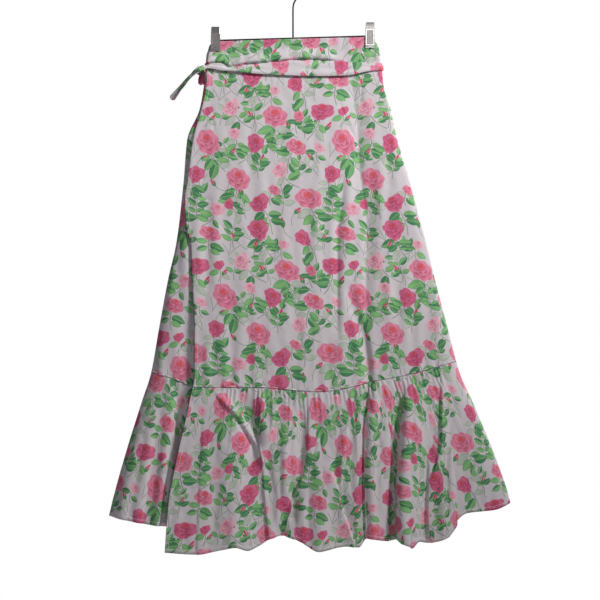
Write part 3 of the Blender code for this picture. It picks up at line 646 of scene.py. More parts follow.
def rose(add, shake, wash):
    """Where a rose is, and its colour: rings of scalloped petals round a warm heart, set back by its tilt."""
    x, y, look = shaken(add, shake, "rose", 0.13)
    kind, tilt = add("Math.FLOOR", look), add("Math.FRACT", look)
    taper = add("Math.MULTIPLY", add("Math.MINIMUM", kind, 1.0), 0.42)
    x = add("Math.DIVIDE", x, add("Math.MULTIPLY_ADD", y, taper, 0.95))
    square_x = add("Math.MULTIPLY", x, x)
    uneven = add("Math.MULTIPLY_ADD", add("Math.ARCTAN2", y, x), 2.0, add("Math.MULTIPLY", look, 31.0))
    uneven = add("Math.MULTIPLY_ADD", add("Math.SINE", uneven), 0.1, 0.97)
    squash = add("Math.MULTIPLY_ADD", add("Math.FRACT", add("Math.MULTIPLY", look, 9.0)), 0.6, 1.1)
    whole = tones = None
    for size, lift, petals, depth, phase, low, high, power in ROSE_RINGS:
        up = add("Math.MULTIPLY_ADD", tilt, -lift, y)
        reach = add("Math.MULTIPLY_ADD", add("Math.MULTIPLY", up, up), squash, square_x)
        around = add("Math.ARCTAN2", up, x)
        winding = add("Math.MULTIPLY_ADD", around, petals / 2, add("Math.MULTIPLY_ADD", tilt, 7.0, phase))
        scallop = add("Math.ABSOLUTE", add("Math.COSINE", winding))
        rim = add("Math.MULTIPLY_ADD", scallop, size * depth, size * (1 - depth))
        rim = add("Math.MULTIPLY", rim, uneven)
        share = add("Math.DIVIDE", add("Math.SQRT", reach), rim)
        inside = add("MapRange", share, 0.97, 1.02, 1.0, 0.0)
        lap = add("Math.MULTIPLY", add("Math.SINE", add("Math.MULTIPLY", winding, 2.0)), 0.16)
        shade = add("Math.MULTIPLY_ADD", add("Math.POWER", share, power), high - low, low)
        shade = add("Math.ADD", shade, lap, use_clamp=True)
        tones = shade if tones is None else add("Mix", inside, tones, shade, data_type="FLOAT")
        whole = whole or inside
    tones = add("Math.MULTIPLY_ADD", add("Math.SUBTRACT", wash, 0.5), 1.1, tones, use_clamp=True)
    colour = None
    for number, (dark, light) in ROSE_PINKS.items():
        pink = add("Mix", tones, dark, light, data_type="RGBA")
        if colour is not None:
            pink = add("Mix", add("Math.COMPARE", kind, float(number), 0.1), colour, pink, data_type="RGBA")
        colour = pink
    heart_y = add("Math.SUBTRACT", y, tilt)
    heart = add("Math.MULTIPLY_ADD", add("Math.MULTIPLY", heart_y, heart_y), 1.7, square_x)
    warm = add("MapRange", add("Math.SQRT", heart), 0.10, 0.36, 1.0, 0.0)
    warm = add("Math.MULTIPLY", warm, add("Math.MULTIPLY_ADD", kind, -0.4, 0.85), use_clamp=True)
    return whole, add("Mix", warm, colour, ROSE_HEART, data_type="RGBA")


def stitches(add, cut):
    """How much thread shows on the stitch lines along a piece's foot (X) and free edge (Y)."""
    place = add("Attribute", attribute_name="stitching", out="Vector")
    total = None
    for axis in "XY":
        off = add("Math.ABSOLUTE", add("SeparateXYZ", place, out=axis))
        line = add("MapRange", off, 0.2 * MM, 0.6 * MM, 1.0, 0.0)
        step = add("Math.PINGPONG", add("SeparateXYZ", cut, out=axis), STITCH_LENGTH / 2)
        line = add("Math.MULTIPLY", line, add("MapRange", step, 0.2 * MM, 0.5 * MM))
        total = line if total is None else add("Math.MAXIMUM", total, line)
    return total


def printed_cotton(name, through):
    """Thin plain-woven cotton, printed on one side: soft, matt and a little uneven in its colour.

    through is how much paler the print is on this side. Its threads are 0.3 mm apart, too fine to show, so
    they are drawn DRAWN_THREADS apart.
    """
    made, add, shader = new_material(name)
    cut = add("UVMap", uv_map="cut")
    shake = add("TexNoise", cut, None, 170.0, 2.0, out="Color")
    shake = add("VectorMath.SUBTRACT", shake, (0.5, 0.5, 0.5))
    wash = add("TexNoise", cut, None, 60.0, 3.0)
    grain = add("TexNoise", cut, None, 420.0, 2.0)
    mottle = add("MapRange", wash, 0.38, 0.6)
    colour = add("Mix", mottle, GROUND, GROUND_WASH, data_type="RGBA")
    colour = add("Mix", stem_mask(add, shake, grain), colour, STEM_GREEN, data_type="RGBA")
    leaf, look = leaf_mask(add, shake, LEAF_LAYERS[0])
    for layer in LEAF_LAYERS[1:]:
        over, over_look = leaf_mask(add, shake, layer)
        top = add("Math.GREATER_THAN", over, 0.5)
        look = [add("Mix", top, a, b, data_type="FLOAT") for a, b in zip(look, over_look)]
        leaf = add("Math.MAXIMUM", leaf, over)
    colour = add("Mix", leaf, colour, leaf_colour(add, wash, *look), data_type="RGBA")
    whole, petals = rose(add, shake, wash)
    colour = add("Mix", whole, colour, petals, data_type="RGBA")
    colour = add("Mix", through, colour, GROUND_WASH, data_type="RGBA")
    thread = stitches(add, cut)
    colour = add("Mix", add("Math.MULTIPLY", thread, 0.7), colour, THREAD, data_type="RGBA")
    weave = add("VectorMath.SCALE", cut, None, None, 2 * math.pi / DRAWN_THREADS)
    weave = add("VectorMath.SINE", weave)
    weave = add("Math.MULTIPLY", add("SeparateXYZ", weave, out="X"), add("SeparateXYZ", weave, out="Y"))
    height = add("Math.MULTIPLY_ADD", grain, 0.8, add("Math.MULTIPLY", weave, 0.25))
    height = add("Math.ADD", height, add("Math.MULTIPLY", thread, 1.6))
    bump = add("Bump", 0.35, 0.12 * MM, None, height)
    made.node_tree.links.new(colour, shader.inputs["Base Color"])
    made.node_tree.links.new(bump, shader.inputs["Normal"])
    shader.inputs["Roughness"].default_value = 0.82
    shader.inputs["Sheen Weight"].default_value = 0.15
    shader.inputs["Sheen Roughness"].default_value = 0.5
    return made


def metal(name, dark, light, roughness, scale):
    """Bare or plated metal that is handled: faint cloudy smudges dull it here and there.

    roughness is where it is cleanest, and scale how many smudges there are to a metre.
    """
    made, add, shader = new_material(name)
    place = add("TexCoord", out="Object")
    cloud = add("TexNoise", place, None, scale, 3.0)
    smudge = add("MapRange", cloud, 0.35, 0.7)
    colour = add("Mix", smudge, linear(dark), linear(light), data_type="RGBA")
    made.node_tree.links.new(colour, shader.inputs["Base Color"])
    dull = add("Math.MULTIPLY_ADD", smudge, 0.12, roughness)
    made.node_tree.links.new(dull, shader.inputs["Roughness"])
    shader.inputs["Metallic"].default_value = 1.0
    return made


# Chromed steel: mirror-like at its rims, and brushed where its panel is pressed in.
CHROME = metal("chromed steel", "CFC8C3", "DFDAD6", 0.14, 120.0)
BRUSHED_CHROME = metal("brushed chromed steel", "A8A3A0", "B6B1AE", 0.23, 160.0)
# Spring wire is drawn steel, greyer and duller than the plated jaws.
SPRING_STEEL = metal("drawn spring steel", "6E6C6B", "8B8988", 0.38, 200.0)
# The hanger's wire is dark and lightly oiled, so that it has one soft shine along it.
DARK_WIRE = metal("dark hanger wire", "3B3A3B", "525051", 0.36, 90.0)
PRINTED_SIDE = printed_cotton("printed cotton, right side", 0.0)
WRONG_SIDE = printed_cotton("printed cotton, wrong side", 0.5)


# ---- fine relief of the cloth: what the solids are too coarse for ----
# Creases: the two ends as x and drop, the half width and the height. A negative height is a groove.
FRONT_CREASES = (
    (134, 86, 132, 122, 2.6, -0.9),
    (91, 124, 107, 166, 3, -1.0),
    (107, 164, 131, 216, 3, -0.9),
    (-157, 126, -153, 194, 3.4, -0.9),
    (-64, 520, -8, 572, 4.5, 0.9),
    (-190, 300, -154, 318, 3.6, -0.9),
    (-148, 352, -121, 387, 3.4, -0.8),
    (150, 396, 212, 393, 2.6, 1.0),
    (14, 560, 22, 650, 5, -0.8),
    (44, 540, 40, 660, 5, 0.8),
    (66, 580, 70, 670, 4, -0.8),
    (-120, 600, -132, 672, 5, 0.7),
    (-40, 610, -44, 672, 5, -0.7),
    (150, 250, 176, 420, 7, -0.9),
    (176, 430, 206, 600, 8, 0.9),
    (-60, 74, -64, 128, 5, 0.6),
    (20, 76, 18, 140, 5, -0.6),
)
SIDE_CREASES = (
    (-240, 461, -192, 460, 2.6, 1.0),
    (-214, 352, -192, 406, 3, -0.9),
    (-316, 810, -232, 811, 2.6, 1.1),
    (-262, 700, -300, 940, 7, -1.6),
    (-242, 690, -262, 940, 6, 1.4),
)
RUFFLE_CREASES = (
    (-232, 870, -90, 853, 3, 1.3),
    (-300, 812, -236, 808, 3, 1.0),
    (-52, 818, -30, 900, 4, -1.2),
)
BACK_CREASES = (
    (-90, 90, -96, 240, 5, 0.9),
    (40, 80, 46, 200, 5, -0.8),
    (-30, 396, 70, 392, 2.6, 0.9),
    (120, 300, 150, 600, 8, 0.9),
    (-160, 300, -190, 620, 8, -0.9),
)

# Fine folds of the ruffles, in the form of FRONT_FOLDS.
FOLD_STRENGTH = 1.05  # how much higher they are made than their rows say
RUFFLE_FOLDS = (
    (3, 20, ((684, -152, 0), (700, -140, 4), (728, -113, 7), (761, -92, 8), (790, -73, 7), (830, -62, 0))),
    (26, 4, ((690, -34, 0), (730, -36, 8), (780, -46, 9), (820, -58, 6), (850, -62, 0))),
    (3, 16, ((684, -66, 0), (720, -62, 4), (800, -58, 5), (860, -56, 4), (960, -46, 5))),
    (20, 12, ((700, 28, 0), (740, 34, 7), (790, 34, 9), (838, 28, 7), (870, 20, 4))),
    (5, 26, ((830, 20, 0), (860, 14, 7), (925, -14, 9), (965, -20, 7))),
    (20, 4, ((820, 70, 0), (850, 78, 6), (900, 90, 9), (975, 116, 8))),
    (3.4, 26, ((664, 148, 0), (690, 149, 7), (730, 144, 8), (800, 141, 8), (930, 139, 9), (975, 144, 8))),
    (14, 3, ((664, 132, 0), (720, 130, 3), (800, 126, 4), (960, 124, 3))),
    (26, 9, ((664, 224, 0), (700, 224, 8), (780, 221, 12), (890, 216, 13), (975, 220, 12))),
    (14, 3, ((700, 192, 0), (800, 186, 4), (960, 182, 4))),
    (4, 18, ((800, 262, 0), (840, 264, 5), (930, 262, 8), (970, 270, 6))),
    (4, 18, ((655, 290, 0), (700, 288, 6), (780, 287, 8), (830, 278, 6), (870, 266, 0))),
    (12, 2, ((780, 306, 0), (850, 309, 7), (960, 314, 8))),
    (8, 30, ((690, -168, 0), (780, -172, 2), (990, -182, 3))),
    (16, 6, ((700, 110, 0), (760, 104, 4), (820, 96, 5), (960, 88, 0))),
    (12, 12, ((720, -12, 0), (780, -14, 4), (860, -14, 5), (960, -2, 5))),
)
UNDER_FOLDS = (
    (20, 6, ((655, -236, 0), (700, -234, 4), (800, -244, 6), (945, -262, 7))),
    (16, 10, ((690, -262, 0), (780, -276, 4), (940, -300, 6))),
    (20, 14, ((700, -280, 0), (820, -310, 4), (940, -334, 5))),
)


def rise(value, low, high):
    """0 below low and 1 above high, in millimetres, with a soft slope between."""
    t = np.clip((value / MM - low) / (high - low), 0, 1)
    return t * t * (3 - 2 * t)


def creased(creases, x, drop):
    """Short straight creases, each fading out at its ends."""
    total = np.zeros_like(x)
    for row in creases:
        x0, drop0, x1, drop1, half, height = np.array(row) * MM
        length = math.hypot(x1 - x0, drop1 - drop0)
        way = ((x1 - x0) / length, (drop1 - drop0) / length)
        along = ((x - x0) * way[0] + (drop - drop0) * way[1]) / length
        aside = (x - x0) * way[1] - (drop - drop0) * way[0]
        fade = np.clip(along * 4, 0, 1) * np.clip((1 - along) * 4, 0, 1)
        total += height * fade * np.exp(-((aside / half) ** 2))
    return total


def rippled(x, drop, seed, across, along, count=7):
    """Uneven soft waves between about -1 and 1, with their usual length across and along the cloth."""
    draw = np.random.default_rng(seed)
    total = np.zeros_like(x)
    for _ in range(count):
        a = draw.uniform(0.6, 1.6) / (across * MM)
        b = draw.uniform(-1.2, 1.2) / (along * MM)
        total += np.sin(2 * math.pi * (a * x + b * drop) + draw.uniform(0, 2 * math.pi))
    return total / math.sqrt(count)


def crumpled(x, drop, seed):
    """The small unevenness of washed cotton."""
    large = rippled(x, drop, seed, 30, 34, 9)
    small = rippled(drop, x, seed + 1, 11, 12, 9)
    return 0.20 * MM * large + 0.07 * MM * small


def gathered(place, below, seed, depth):
    """Gathers under a seam. place counts them from the start edge. Most die out soon, and a few run on."""
    draw = np.random.default_rng(seed)
    knots = np.arange(-2, 80)
    strength = np.interp(place, knots, draw.uniform(0.2, 1.2, len(knots)))
    reaches = draw.uniform(14, 60, len(knots)) + 50 * (draw.random(len(knots)) > 0.85)
    length = np.interp(place, knots, reaches) * MM
    sway = np.interp(place, knots, draw.uniform(-0.5, 0.5, len(knots)))
    wander = 0.7 * np.sin(place * 0.9) + 0.4 * np.sin(place * 2.3 + 1)
    turns = 2 * math.pi * (place + 0.35 * wander + sway * rise(below, 4, 60))
    narrow = 0.62 * strength * np.exp(-below / length) * rise(below, 0, 6)
    middle = 0.36 * strength * rise(below, 8, 50) * np.exp(-((below / (120 * MM)) ** 2))
    wide = 0.32 * rise(below, 50, 150)
    waves = narrow * np.cos(turns)
    waves += middle * np.cos(turns / 2.35 + 3 * sway)
    waves += wide * np.cos(turns / 5.6 + 1.3 + 2 * np.sin(place / 5))
    return depth * waves


# ---- flat cloth and shells ----
def spread(length, step, start, end):
    """Places from 0 to 1 along a length in millimetres, even but for the given distances from its two ends."""
    first = [0.0, *start]
    last = [length - place for place in reversed(end)] + [length]
    between = np.linspace(first[-1], last[0], max(2, round((last[0] - first[-1]) / step) + 1))[1:-1]
    return np.array([*first, *between, *last]) / length


def run_across(grid, column):
    """The distance along each row of a grid, from a column."""
    steps = np.linalg.norm(np.diff(grid, axis=1), axis=2)
    run = np.concatenate([np.zeros((len(grid), 1)), np.cumsum(steps, axis=1)], axis=1)
    return run - run[:, column : column + 1]


FLIPPED = [0, 3, 2, 1]  # the corners of a quad that faces the other way


def quads_of(rows, cols, loop):
    """Quads of a grid's outer side, and of its rim as (outer, outer, inner, inner) corners."""
    number = np.arange(rows * cols).reshape(rows, cols)
    here, beside = number, np.roll(number, -1, axis=1)
    if not loop:
        here, beside = here[:, :-1], beside[:, :-1]
    outer = np.stack([here[:-1], here[1:], beside[1:], beside[:-1]], axis=-1).reshape(-1, 4)
    side = rows * cols
    rim = [np.stack([here[0], beside[0], side + beside[0], side + here[0]], axis=-1)]
    rim.append(np.stack([here[-1], side + here[-1], side + beside[-1], beside[-1]], axis=-1))
    if not loop:
        a, b = number[:-1, 0], number[1:, 0]
        rim.append(np.stack([a, side + a, side + b, b], axis=-1))
        a, b = number[:-1, -1], number[1:, -1]
        rim.append(np.stack([a, b, side + b, side + a], axis=-1))
    return outer, np.concatenate(rim)


def shell(name, grid, normal, half, cut, seams=None, loop=False, inside=None):
    """A closed thin sheet around a grid of middle points, with its flat cloth and its print.

    half is half its thickness and cut the place of each point on the flat cloth. seams holds, for each point,
    its distances from the stitch line along the foot and from the one along the free edge. loop joins the last
    column to the first. inside is the material of the inner side, if it isn't the cloth's wrong side.
    """
    rows, cols, _ = grid.shape
    half = np.broadcast_to(half, (rows, cols))[..., None]
    verts = np.concatenate([(grid + normal * half).reshape(-1, 3), (grid - normal * half).reshape(-1, 3)])
    outer, rim = quads_of(rows, cols, loop)
    side = rows * cols
    inner = outer[:, FLIPPED]
    quads = np.concatenate([outer, inner + side, rim])
    flat = cut.reshape(-1, 2)
    shown = print_at(np.concatenate([flat[outer], flat[rim % side]]))
    mesh = bpy.data.meshes.new(name)
    mesh.vertices.add(len(verts))
    mesh.vertices.foreach_set("co", verts.astype(np.float32).ravel())
    mesh.loops.add(quads.size)
    mesh.loops.foreach_set("vertex_index", quads.astype(np.int32).ravel())
    mesh.polygons.add(len(quads))
    mesh.polygons.foreach_set("loop_start", np.arange(0, quads.size, 4, dtype=np.int32))
    mesh.polygons.foreach_set("loop_total", np.full(len(quads), 4, dtype=np.int32))
    material_index = np.zeros(len(quads), dtype=np.int32)
    material_index[len(outer) : 2 * len(outer)] = 1
    mesh.polygons.foreach_set("material_index", material_index)
    mesh.update(calc_edges=True)
    mesh.validate()
    layer = mesh.uv_layers.new(name="cut")
    layer.data.foreach_set("uv", flat[quads % side].astype(np.float32).ravel())
    for attribute, values in shown.items():
        face, sides = values[: len(outer)], values[len(outer) :]
        values = np.concatenate([face, face[:, FLIPPED], sides])
        made = mesh.attributes.new(attribute, "FLOAT_VECTOR", "CORNER")
        made.data.foreach_set("vector", values.astype(np.float32).ravel())
    if seams is None:
        seams = np.ones((rows, cols, 3))
    made = mesh.attributes.new("stitching", "FLOAT_VECTOR", "POINT")
    made.data.foreach_set("vector", np.concatenate([seams.reshape(-1, 3)] * 2).astype(np.float32).ravel())
    mesh.polygons.foreach_set("use_smooth", np.ones(len(quads), dtype=bool))
    mesh.materials.append(PRINTED_SIDE)
    mesh.materials.append(inside or WRONG_SIDE)
    made = bpy.data.objects.new(name, mesh)
    bpy.context.scene.collection.objects.link(made)
    return made


# Half the thickness of single cloth, of a hem, of the waistband and of the tie.
CLOTH_HALF, HEM_HALF, BAND_HALF, TIE_HALF = 0.25 * MM, 0.42 * MM, 0.8 * MM, 0.7 * MM
HEM_WIDE = 8  # in millimetres
STITCH_IN, BAND_STITCH_IN = 6.8 * MM, 3 * MM  # from an edge to its stitch line


def thickness(from_foot, from_edge):
    """Half the thickness of single cloth, more where a narrow hem is turned up twice. None stands for no hem."""
    half = CLOTH_HALF
    for distance in (from_foot, from_edge):
        if distance is not None:
            hem = 1 - rise(distance, HEM_WIDE - 0.8, HEM_WIDE + 0.4)
            half = np.maximum(half, CLOTH_HALF + (HEM_HALF - CLOTH_HALF) * hem)
    return half


def groove(distance):
    """How far cloth dips beside a seam."""
    return -0.35 * MM * np.exp(-((distance / (1.3 * MM)) ** 2))


def stitched(from_foot, from_edge, shape, inset=STITCH_IN):
    """Distances from the stitch lines, for shell. Where there is no line, all is far from it."""
    far = np.ones(shape)
    lines = [far if distance is None else distance - inset for distance in (from_foot, from_edge)]
    return np.stack([*lines, far], axis=-1)


def cut_out(along, up, cut_from):
    """Places on the flat cloth, from distances along it and up it and the place on the print that they start at."""
    return np.stack(np.broadcast_arrays(along, up), axis=-1) + np.array(cut_from) * MM


def laid(layer, columns, rows, top, foot):
    """The x and drop of a layer's points and its columns' shares, running rightwards as seen from outside."""
    x, drop = layer.grid(columns, rows, top, foot)
    share = np.broadcast_to(layer.columns(columns)[0], x.shape)
    if layer is BACK:
        x, drop, share = x[:, ::-1], drop[:, ::-1], share[:, ::-1]
    return x, drop, share


def side_seams(layer, x):
    """The columns of a piece that lie on a side seam."""
    if layer is BACK:
        return [0, x.shape[1] - 1]
    return [0] if layer.start_turns else [x.shape[1] - 1]


def calm_sides(x, seams, reach):
    """0 at a side seam and 1 past its reach in millimetres."""
    calm = np.ones_like(x)
    for column in seams:
        calm *= rise(np.abs(x - x[:, [column]]), 0, reach)
    return calm


def make_panel(name, layer, columns, rows, seam_line, creases, seed, gathers, free_edge, cut_from):
    """A panel from the waistband's seam down to the ruffle's, puckered beside both.

    free_edge is the column of its free edge, if it has one, and cut_from where it was cut from the print.
    """
    top = (moved(smooth(BAND_SEAM), SEAM / 2), BAND_LEVEL)
    foot = (moved(smooth(seam_line), -SEAM / 2), RUFFLE_LEVEL)
    x, drop, share = laid(layer, columns, rows, top, foot)
    grid = points(x, layer.surface(x, drop), drop)
    seams = side_seams(layer, x)
    run = run_across(grid, int(np.argmin(np.abs(x[len(x) // 2]))))
    cut = cut_out(run, BAND_LEVEL - drop, cut_from)
    below, above = drop - drop[0], drop[-1] - drop
    relief = creased(creases, x, drop) + crumpled(x, drop, seed)
    relief += 0.8 * MM * rippled(x, drop, seed + 5, 46, 360) * rise(below, 0, 300)
    relief += 0.45 * MM * rippled(x, drop, seed + 7, 14, 60) * np.exp(-below / (24 * MM))
    puckers = np.cos(2 * math.pi * gathers * (1 - share) + rippled(x, drop, seed + 9, 60, 60))
    relief += 0.5 * MM * puckers * np.exp(-above / (13 * MM))
    relief += 0.6 * MM * rippled(x, drop, seed + 11, 26, 120) * np.exp(-above / (60 * MM))
    relief += groove(below) + groove(above)
    grid = grid + normals(grid, seams) * (relief * calm_sides(x, seams, 14))[..., None]
    from_edge = None if free_edge is None else np.abs(run - run[:, [free_edge]])
    half = thickness(None, from_edge)
    return shell(name, grid, normals(grid, seams), half, cut, stitched(None, from_edge, x.shape))


def make_ruffle(
    name, layer, per_gather, rows, seam_line, hem, folds, creases,
    seed, gathers, depth, free_edge, cut_from, flat_left_of=None,
):
    """A ruffle from its gathered seam down to its narrow hem, with so many columns per gather.

    free_edge and cut_from are as in make_panel, and it isn't gathered left of flat_left_of.
    """
    top = (moved(smooth(seam_line), SEAM / 2), RUFFLE_LEVEL)
    foot = (smooth(hem), HEM_LEVEL)
    x, drop, share = laid(layer, gathers * per_gather, rows, top, foot)
    grid = points(x, layer.surface(x, drop), drop)
    seams = side_seams(layer, x)
    below, above = drop - drop[0], drop[-1] - drop
    relief = gathered(gathers * (1 - share), below, seed, depth)
    if flat_left_of is not None:
        relief = relief * rise(x[0] - flat_left_of, 0, 30)
    relief += FOLD_STRENGTH * fold_height(folds, x, drop) + creased(creases, x, drop) + crumpled(x, drop, seed + 3)
    relief += 0.5 * MM * rippled(x, drop, seed + 5, 34, 160) * rise(below, 20, 160)
    relief += groove(below)
    grid = grid + normals(grid, seams) * (relief * calm_sides(x, seams, 16))[..., None]
    run = run_across(grid, 0)
    cut = cut_out(run[-1], -below, cut_from)
    from_edge = None if free_edge is None else np.abs(run - run[:, [free_edge]])
    half = thickness(above, from_edge)
    return shell(name, grid, normals(grid, seams), half, cut, stitched(above, from_edge, x.shape))


def band_stretch(layer, columns, rows, top, top_level, foot):
    """Points of one stretch of the waistband or tie, from the layer's start edge to its end edge."""
    x, drop = layer.grid(columns, rows, (smooth(top), top_level), (smooth(foot), BAND_LEVEL))
    return points(x, layer.surface(x, drop), drop)


def rounded(rows, length, radius):
    """Shares of the full thickness along rows from 0 to 1, rounded off at the first."""
    t = np.clip(rows * length / radius, 0, 1)
    return np.sqrt(1 - (1 - t) ** 2)


# Columns of the waistband's and the tie's stretches.
UNDER_COLUMNS, OVER_COLUMNS, TIE_COLUMNS, BACK_COLUMNS = 84, 128, 150, 112


def make_waistband():
    """One doubled strip in a spiral, folded over at its top. In front it bulges out over the tie."""
    rows = spread(BAND_WIDTH, 1.7, (0.15, 0.5, 1, 1.8), (1, 2.5))
    lines = (rows, BAND_TOP, TOP_LEVEL, BAND_SEAM)
    under = band_stretch(UNDER, UNDER_COLUMNS, *lines)[:, ::-1]
    behind = band_stretch(BACK, BACK_COLUMNS, *lines)[:, 1:]
    over = band_stretch(OVER, OVER_COLUMNS, *lines)[:, ::-1][:, 1:]
    grid = np.concatenate([under, behind, over], axis=1)[:, ::-1]
    grid[-1, :, 2] += SEAM / 2
    normal = normals(grid)
    run = run_across(grid, 0)
    fall = np.broadcast_to(rows[:, None] * BAND_WIDTH * MM, run.shape)
    above_seam = BAND_WIDTH * MM - fall
    relief = 0.35 * MM * rippled(run, fall, 71, 22, 60) + 0.10 * MM * rippled(run, fall, 72, 7, 30)
    relief += groove(above_seam) * 0.6
    x, drop = grid[..., 0], -ROD_BELOW_HOOK - grid[..., 2]
    in_front = np.arange(run.shape[1]) <= OVER_COLUMNS
    above_tie = smooth(TIE_TOP)(x) - drop
    overhang = rise(above_tie, 0.1, 2) * (1 - rise(above_tie, 3, 26)) * (1 - rise(x, 66, 96))
    relief += BAND_OVERHANG * overhang * in_front * (0.8 + 0.2 * rippled(x, 0 * x, 74, 60, 900))
    relief -= tucked(x, above_tie) * in_front
    grid = grid + normal * relief[..., None]
    half = BAND_HALF * np.clip(rounded(rows, BAND_WIDTH, 1), 0.1, 1)[:, None]
    cut = cut_out(run, -fall, BAND_CUT)
    seams = stitched(above_seam, None, run.shape, BAND_STITCH_IN)
    return shell("waistband", grid, normals(grid), half, cut, seams)


def tucked(x, above_tie):
    """How far the waistband is pressed in along the tie's top edge, deepest where the tie gapes a little."""
    gape = np.exp(-(((x - 42 * MM) / (24 * MM)) ** 2))
    reach = (3.2 + 2.5 * gape) * MM
    return TUCK * (1 + 0.6 * gape) * np.exp(-((above_tie / reach) ** 2)) * (1 - rise(x, 70, 100))


def make_tie_strip():
    """The tie round the waist: soft folds run along it where the knot draws it in."""
    rows = spread(TIE_WIDTH, 1.1, (0.3, 0.8), (0.8, 0.3))
    front_stretch = Layer(over_y, tie_start, right, False, True)
    over = band_stretch(front_stretch, TIE_COLUMNS, rows, TIE_TOP, BAND_LEVEL, TIE_FOOT)
    behind = band_stretch(BACK, BACK_COLUMNS, rows, TIE_BACK_TOP, BAND_LEVEL, TIE_BACK_FOOT)[:, ::-1][:, 1:]
    grid = np.concatenate([over, behind], axis=1)
    normal = normals(grid)
    run = run_across(grid, 0)
    across = np.broadcast_to(rows[:, None], run.shape)
    x, drop = grid[..., 0], -ROD_BELOW_HOOK - grid[..., 2]
    crown = np.sin(math.pi * across**1.25) ** 0.8
    drawn = np.exp(-run / (52 * MM))
    folds = 1.7 * drawn * np.cos(2 * math.pi * (across * 1.9 - run / 0.13))
    folds += 0.5 * rippled(run, across * TIE_WIDTH * MM, 81, 46, 14)
    folds += 0.7 * np.exp(-(((x + 123 * MM) / (9 * MM)) ** 2)) * np.cos(across * 9)
    in_front = (run < run[0, TIE_COLUMNS]) * (1 - rise(x, 140, 168))
    rolled = 2.8 * rise(across * MM, 0.5, 0.9) * in_front
    off = TIE_OFF + MM * (1.3 * crown + rolled + 0.9 * drawn * crown + folds * np.sin(math.pi * across) * 0.8)
    off -= tucked(x, smooth(TIE_TOP)(x) - drop) * in_front
    grid = grid + normal * off[..., None]
    ends = np.minimum(rounded(rows, TIE_WIDTH, 0.8), rounded(1 - rows, TIE_WIDTH, 0.8))
    half = TIE_HALF * np.clip(ends, 0.12, 1)[:, None]
    # The tie shows the waistband's own stretch of print at the right, and slides off it towards the knot.
    below_top = drop - smooth(BAND_TOP)(x)
    slide = 70 * MM * (1 - rise(x, -40, 100))
    cut = cut_out(run - slide, -below_top - 0.3 * slide, BAND_CUT)
    return shell("tie_strip", grid, normals(grid), half, cut)


def loop_normals(grid):
    """Normals of a grid whose last column joins its first."""
    wide = np.concatenate([grid[:, -1:], grid, grid[:, :1]], axis=1)
    normal = np.cross(np.gradient(grid, axis=0), (wide[:, 2:] - wide[:, :-2]) / 2)
    return normal / np.linalg.norm(normal, axis=-1, keepdims=True)


def tube(name, grid, centres, half, cut):
    """A shell round a closed ring of columns, with its right side out, and printed inside too."""
    normal = loop_normals(grid)
    outward = int(np.sign((normal * (grid - centres)).sum(-1).mean()))
    return shell(name, grid[:, ::outward], normal[:, ::outward] * outward, half, cut, loop=True, inside=PRINTED_SIDE)


def headings(middle):
    """The unit direction of a line of points at each of them."""
    along = np.gradient(middle, axis=0)
    return along / np.linalg.norm(along, axis=1, keepdims=True)


def make_knot():
    """The tie's knot: a bunch of pleats that fans out to the left from where the tie is drawn tight."""
    steps = np.linspace(0, 1, 40)
    x = smooth(((0, -167.5), (300, -172.5), (650, -179), (1000, -187.5)))(steps)
    drop = smooth(((0, 54.5), (300, 55.5), (650, 60), (1000, 67.5)))(steps)
    radius = smooth(((0, 0.5), (60, 3), (200, 3.6), (500, 6), (800, 7.4), (930, 6), (1000, 1)))(steps)[:, None]
    middle = points(x, np.full(len(x), KNOT[1]), drop)
    up = np.cross(headings(middle), (0, 1, 0))
    turns = np.linspace(0, 2 * math.pi, 72, endpoint=False)[None, :]
    grow = rise(steps, 100, 800)[:, None]
    pleats = 1 + grow * (0.16 * np.cos(6 * turns + 1.5 * steps[:, None]) + 0.07 * np.cos(13 * turns))
    reach = radius * pleats
    grid = middle[:, None] + (reach * np.cos(turns))[..., None] * up[:, None]
    grid = grid - (0.95 * reach * np.sin(turns))[..., None] * np.array((0, 1, 0))
    cut = cut_out(7 * MM * turns, -19 * MM * steps[:, None], KNOT_CUT)
    return tube("tie_knot", grid, middle[:, None], 0.35 * MM, cut)


def make_tie_loop():
    """The loop of the half bow, wide open towards the front and drawn in behind, with pleats from the knot."""
    turns = np.linspace(0, 2 * math.pi, 96, endpoint=False)[None, :]
    rows = np.linspace(0, 1, 22)[:, None]
    size = 1 - 0.9 * rows**1.3
    narrow = 1 - 0.42 * np.cos(turns)
    inside = rise(rows * MM, 0, 0.25)
    pleat = 1 + inside * (0.13 * np.cos(6 * turns + 3 * rows) + 0.07 * np.cos(11 * turns - 5 * rows))
    square = 1 + 0.16 * np.clip(-np.cos(turns), 0, 1) * np.abs(np.sin(2 * turns))
    x = KNOT[0] + 2.2 * MM + LOOP_HALF[0] * np.sin(turns) * narrow * size * pleat * square
    fall = LOOP_HALF[1] * (1 - np.cos(turns)) * square
    drop = KNOT[2] + 4.5 * MM + fall * 1.12 * size * pleat
    forward = 3 * (1 - np.cos(turns)) - 6 * np.sin(turns)
    y = KNOT[1] - 5 * MM + LOOP_WIDTH * (rows - 0.5) + MM * (forward * (1 - rows) + np.cos(3 * turns))
    grid = points(*np.broadcast_arrays(x, y, drop))
    cut = cut_out(11 * MM * turns, -14 * MM * rows, LOOP_CUT)
    return tube("tie_loop", grid, grid.mean(axis=1, keepdims=True), 0.4 * MM, cut)


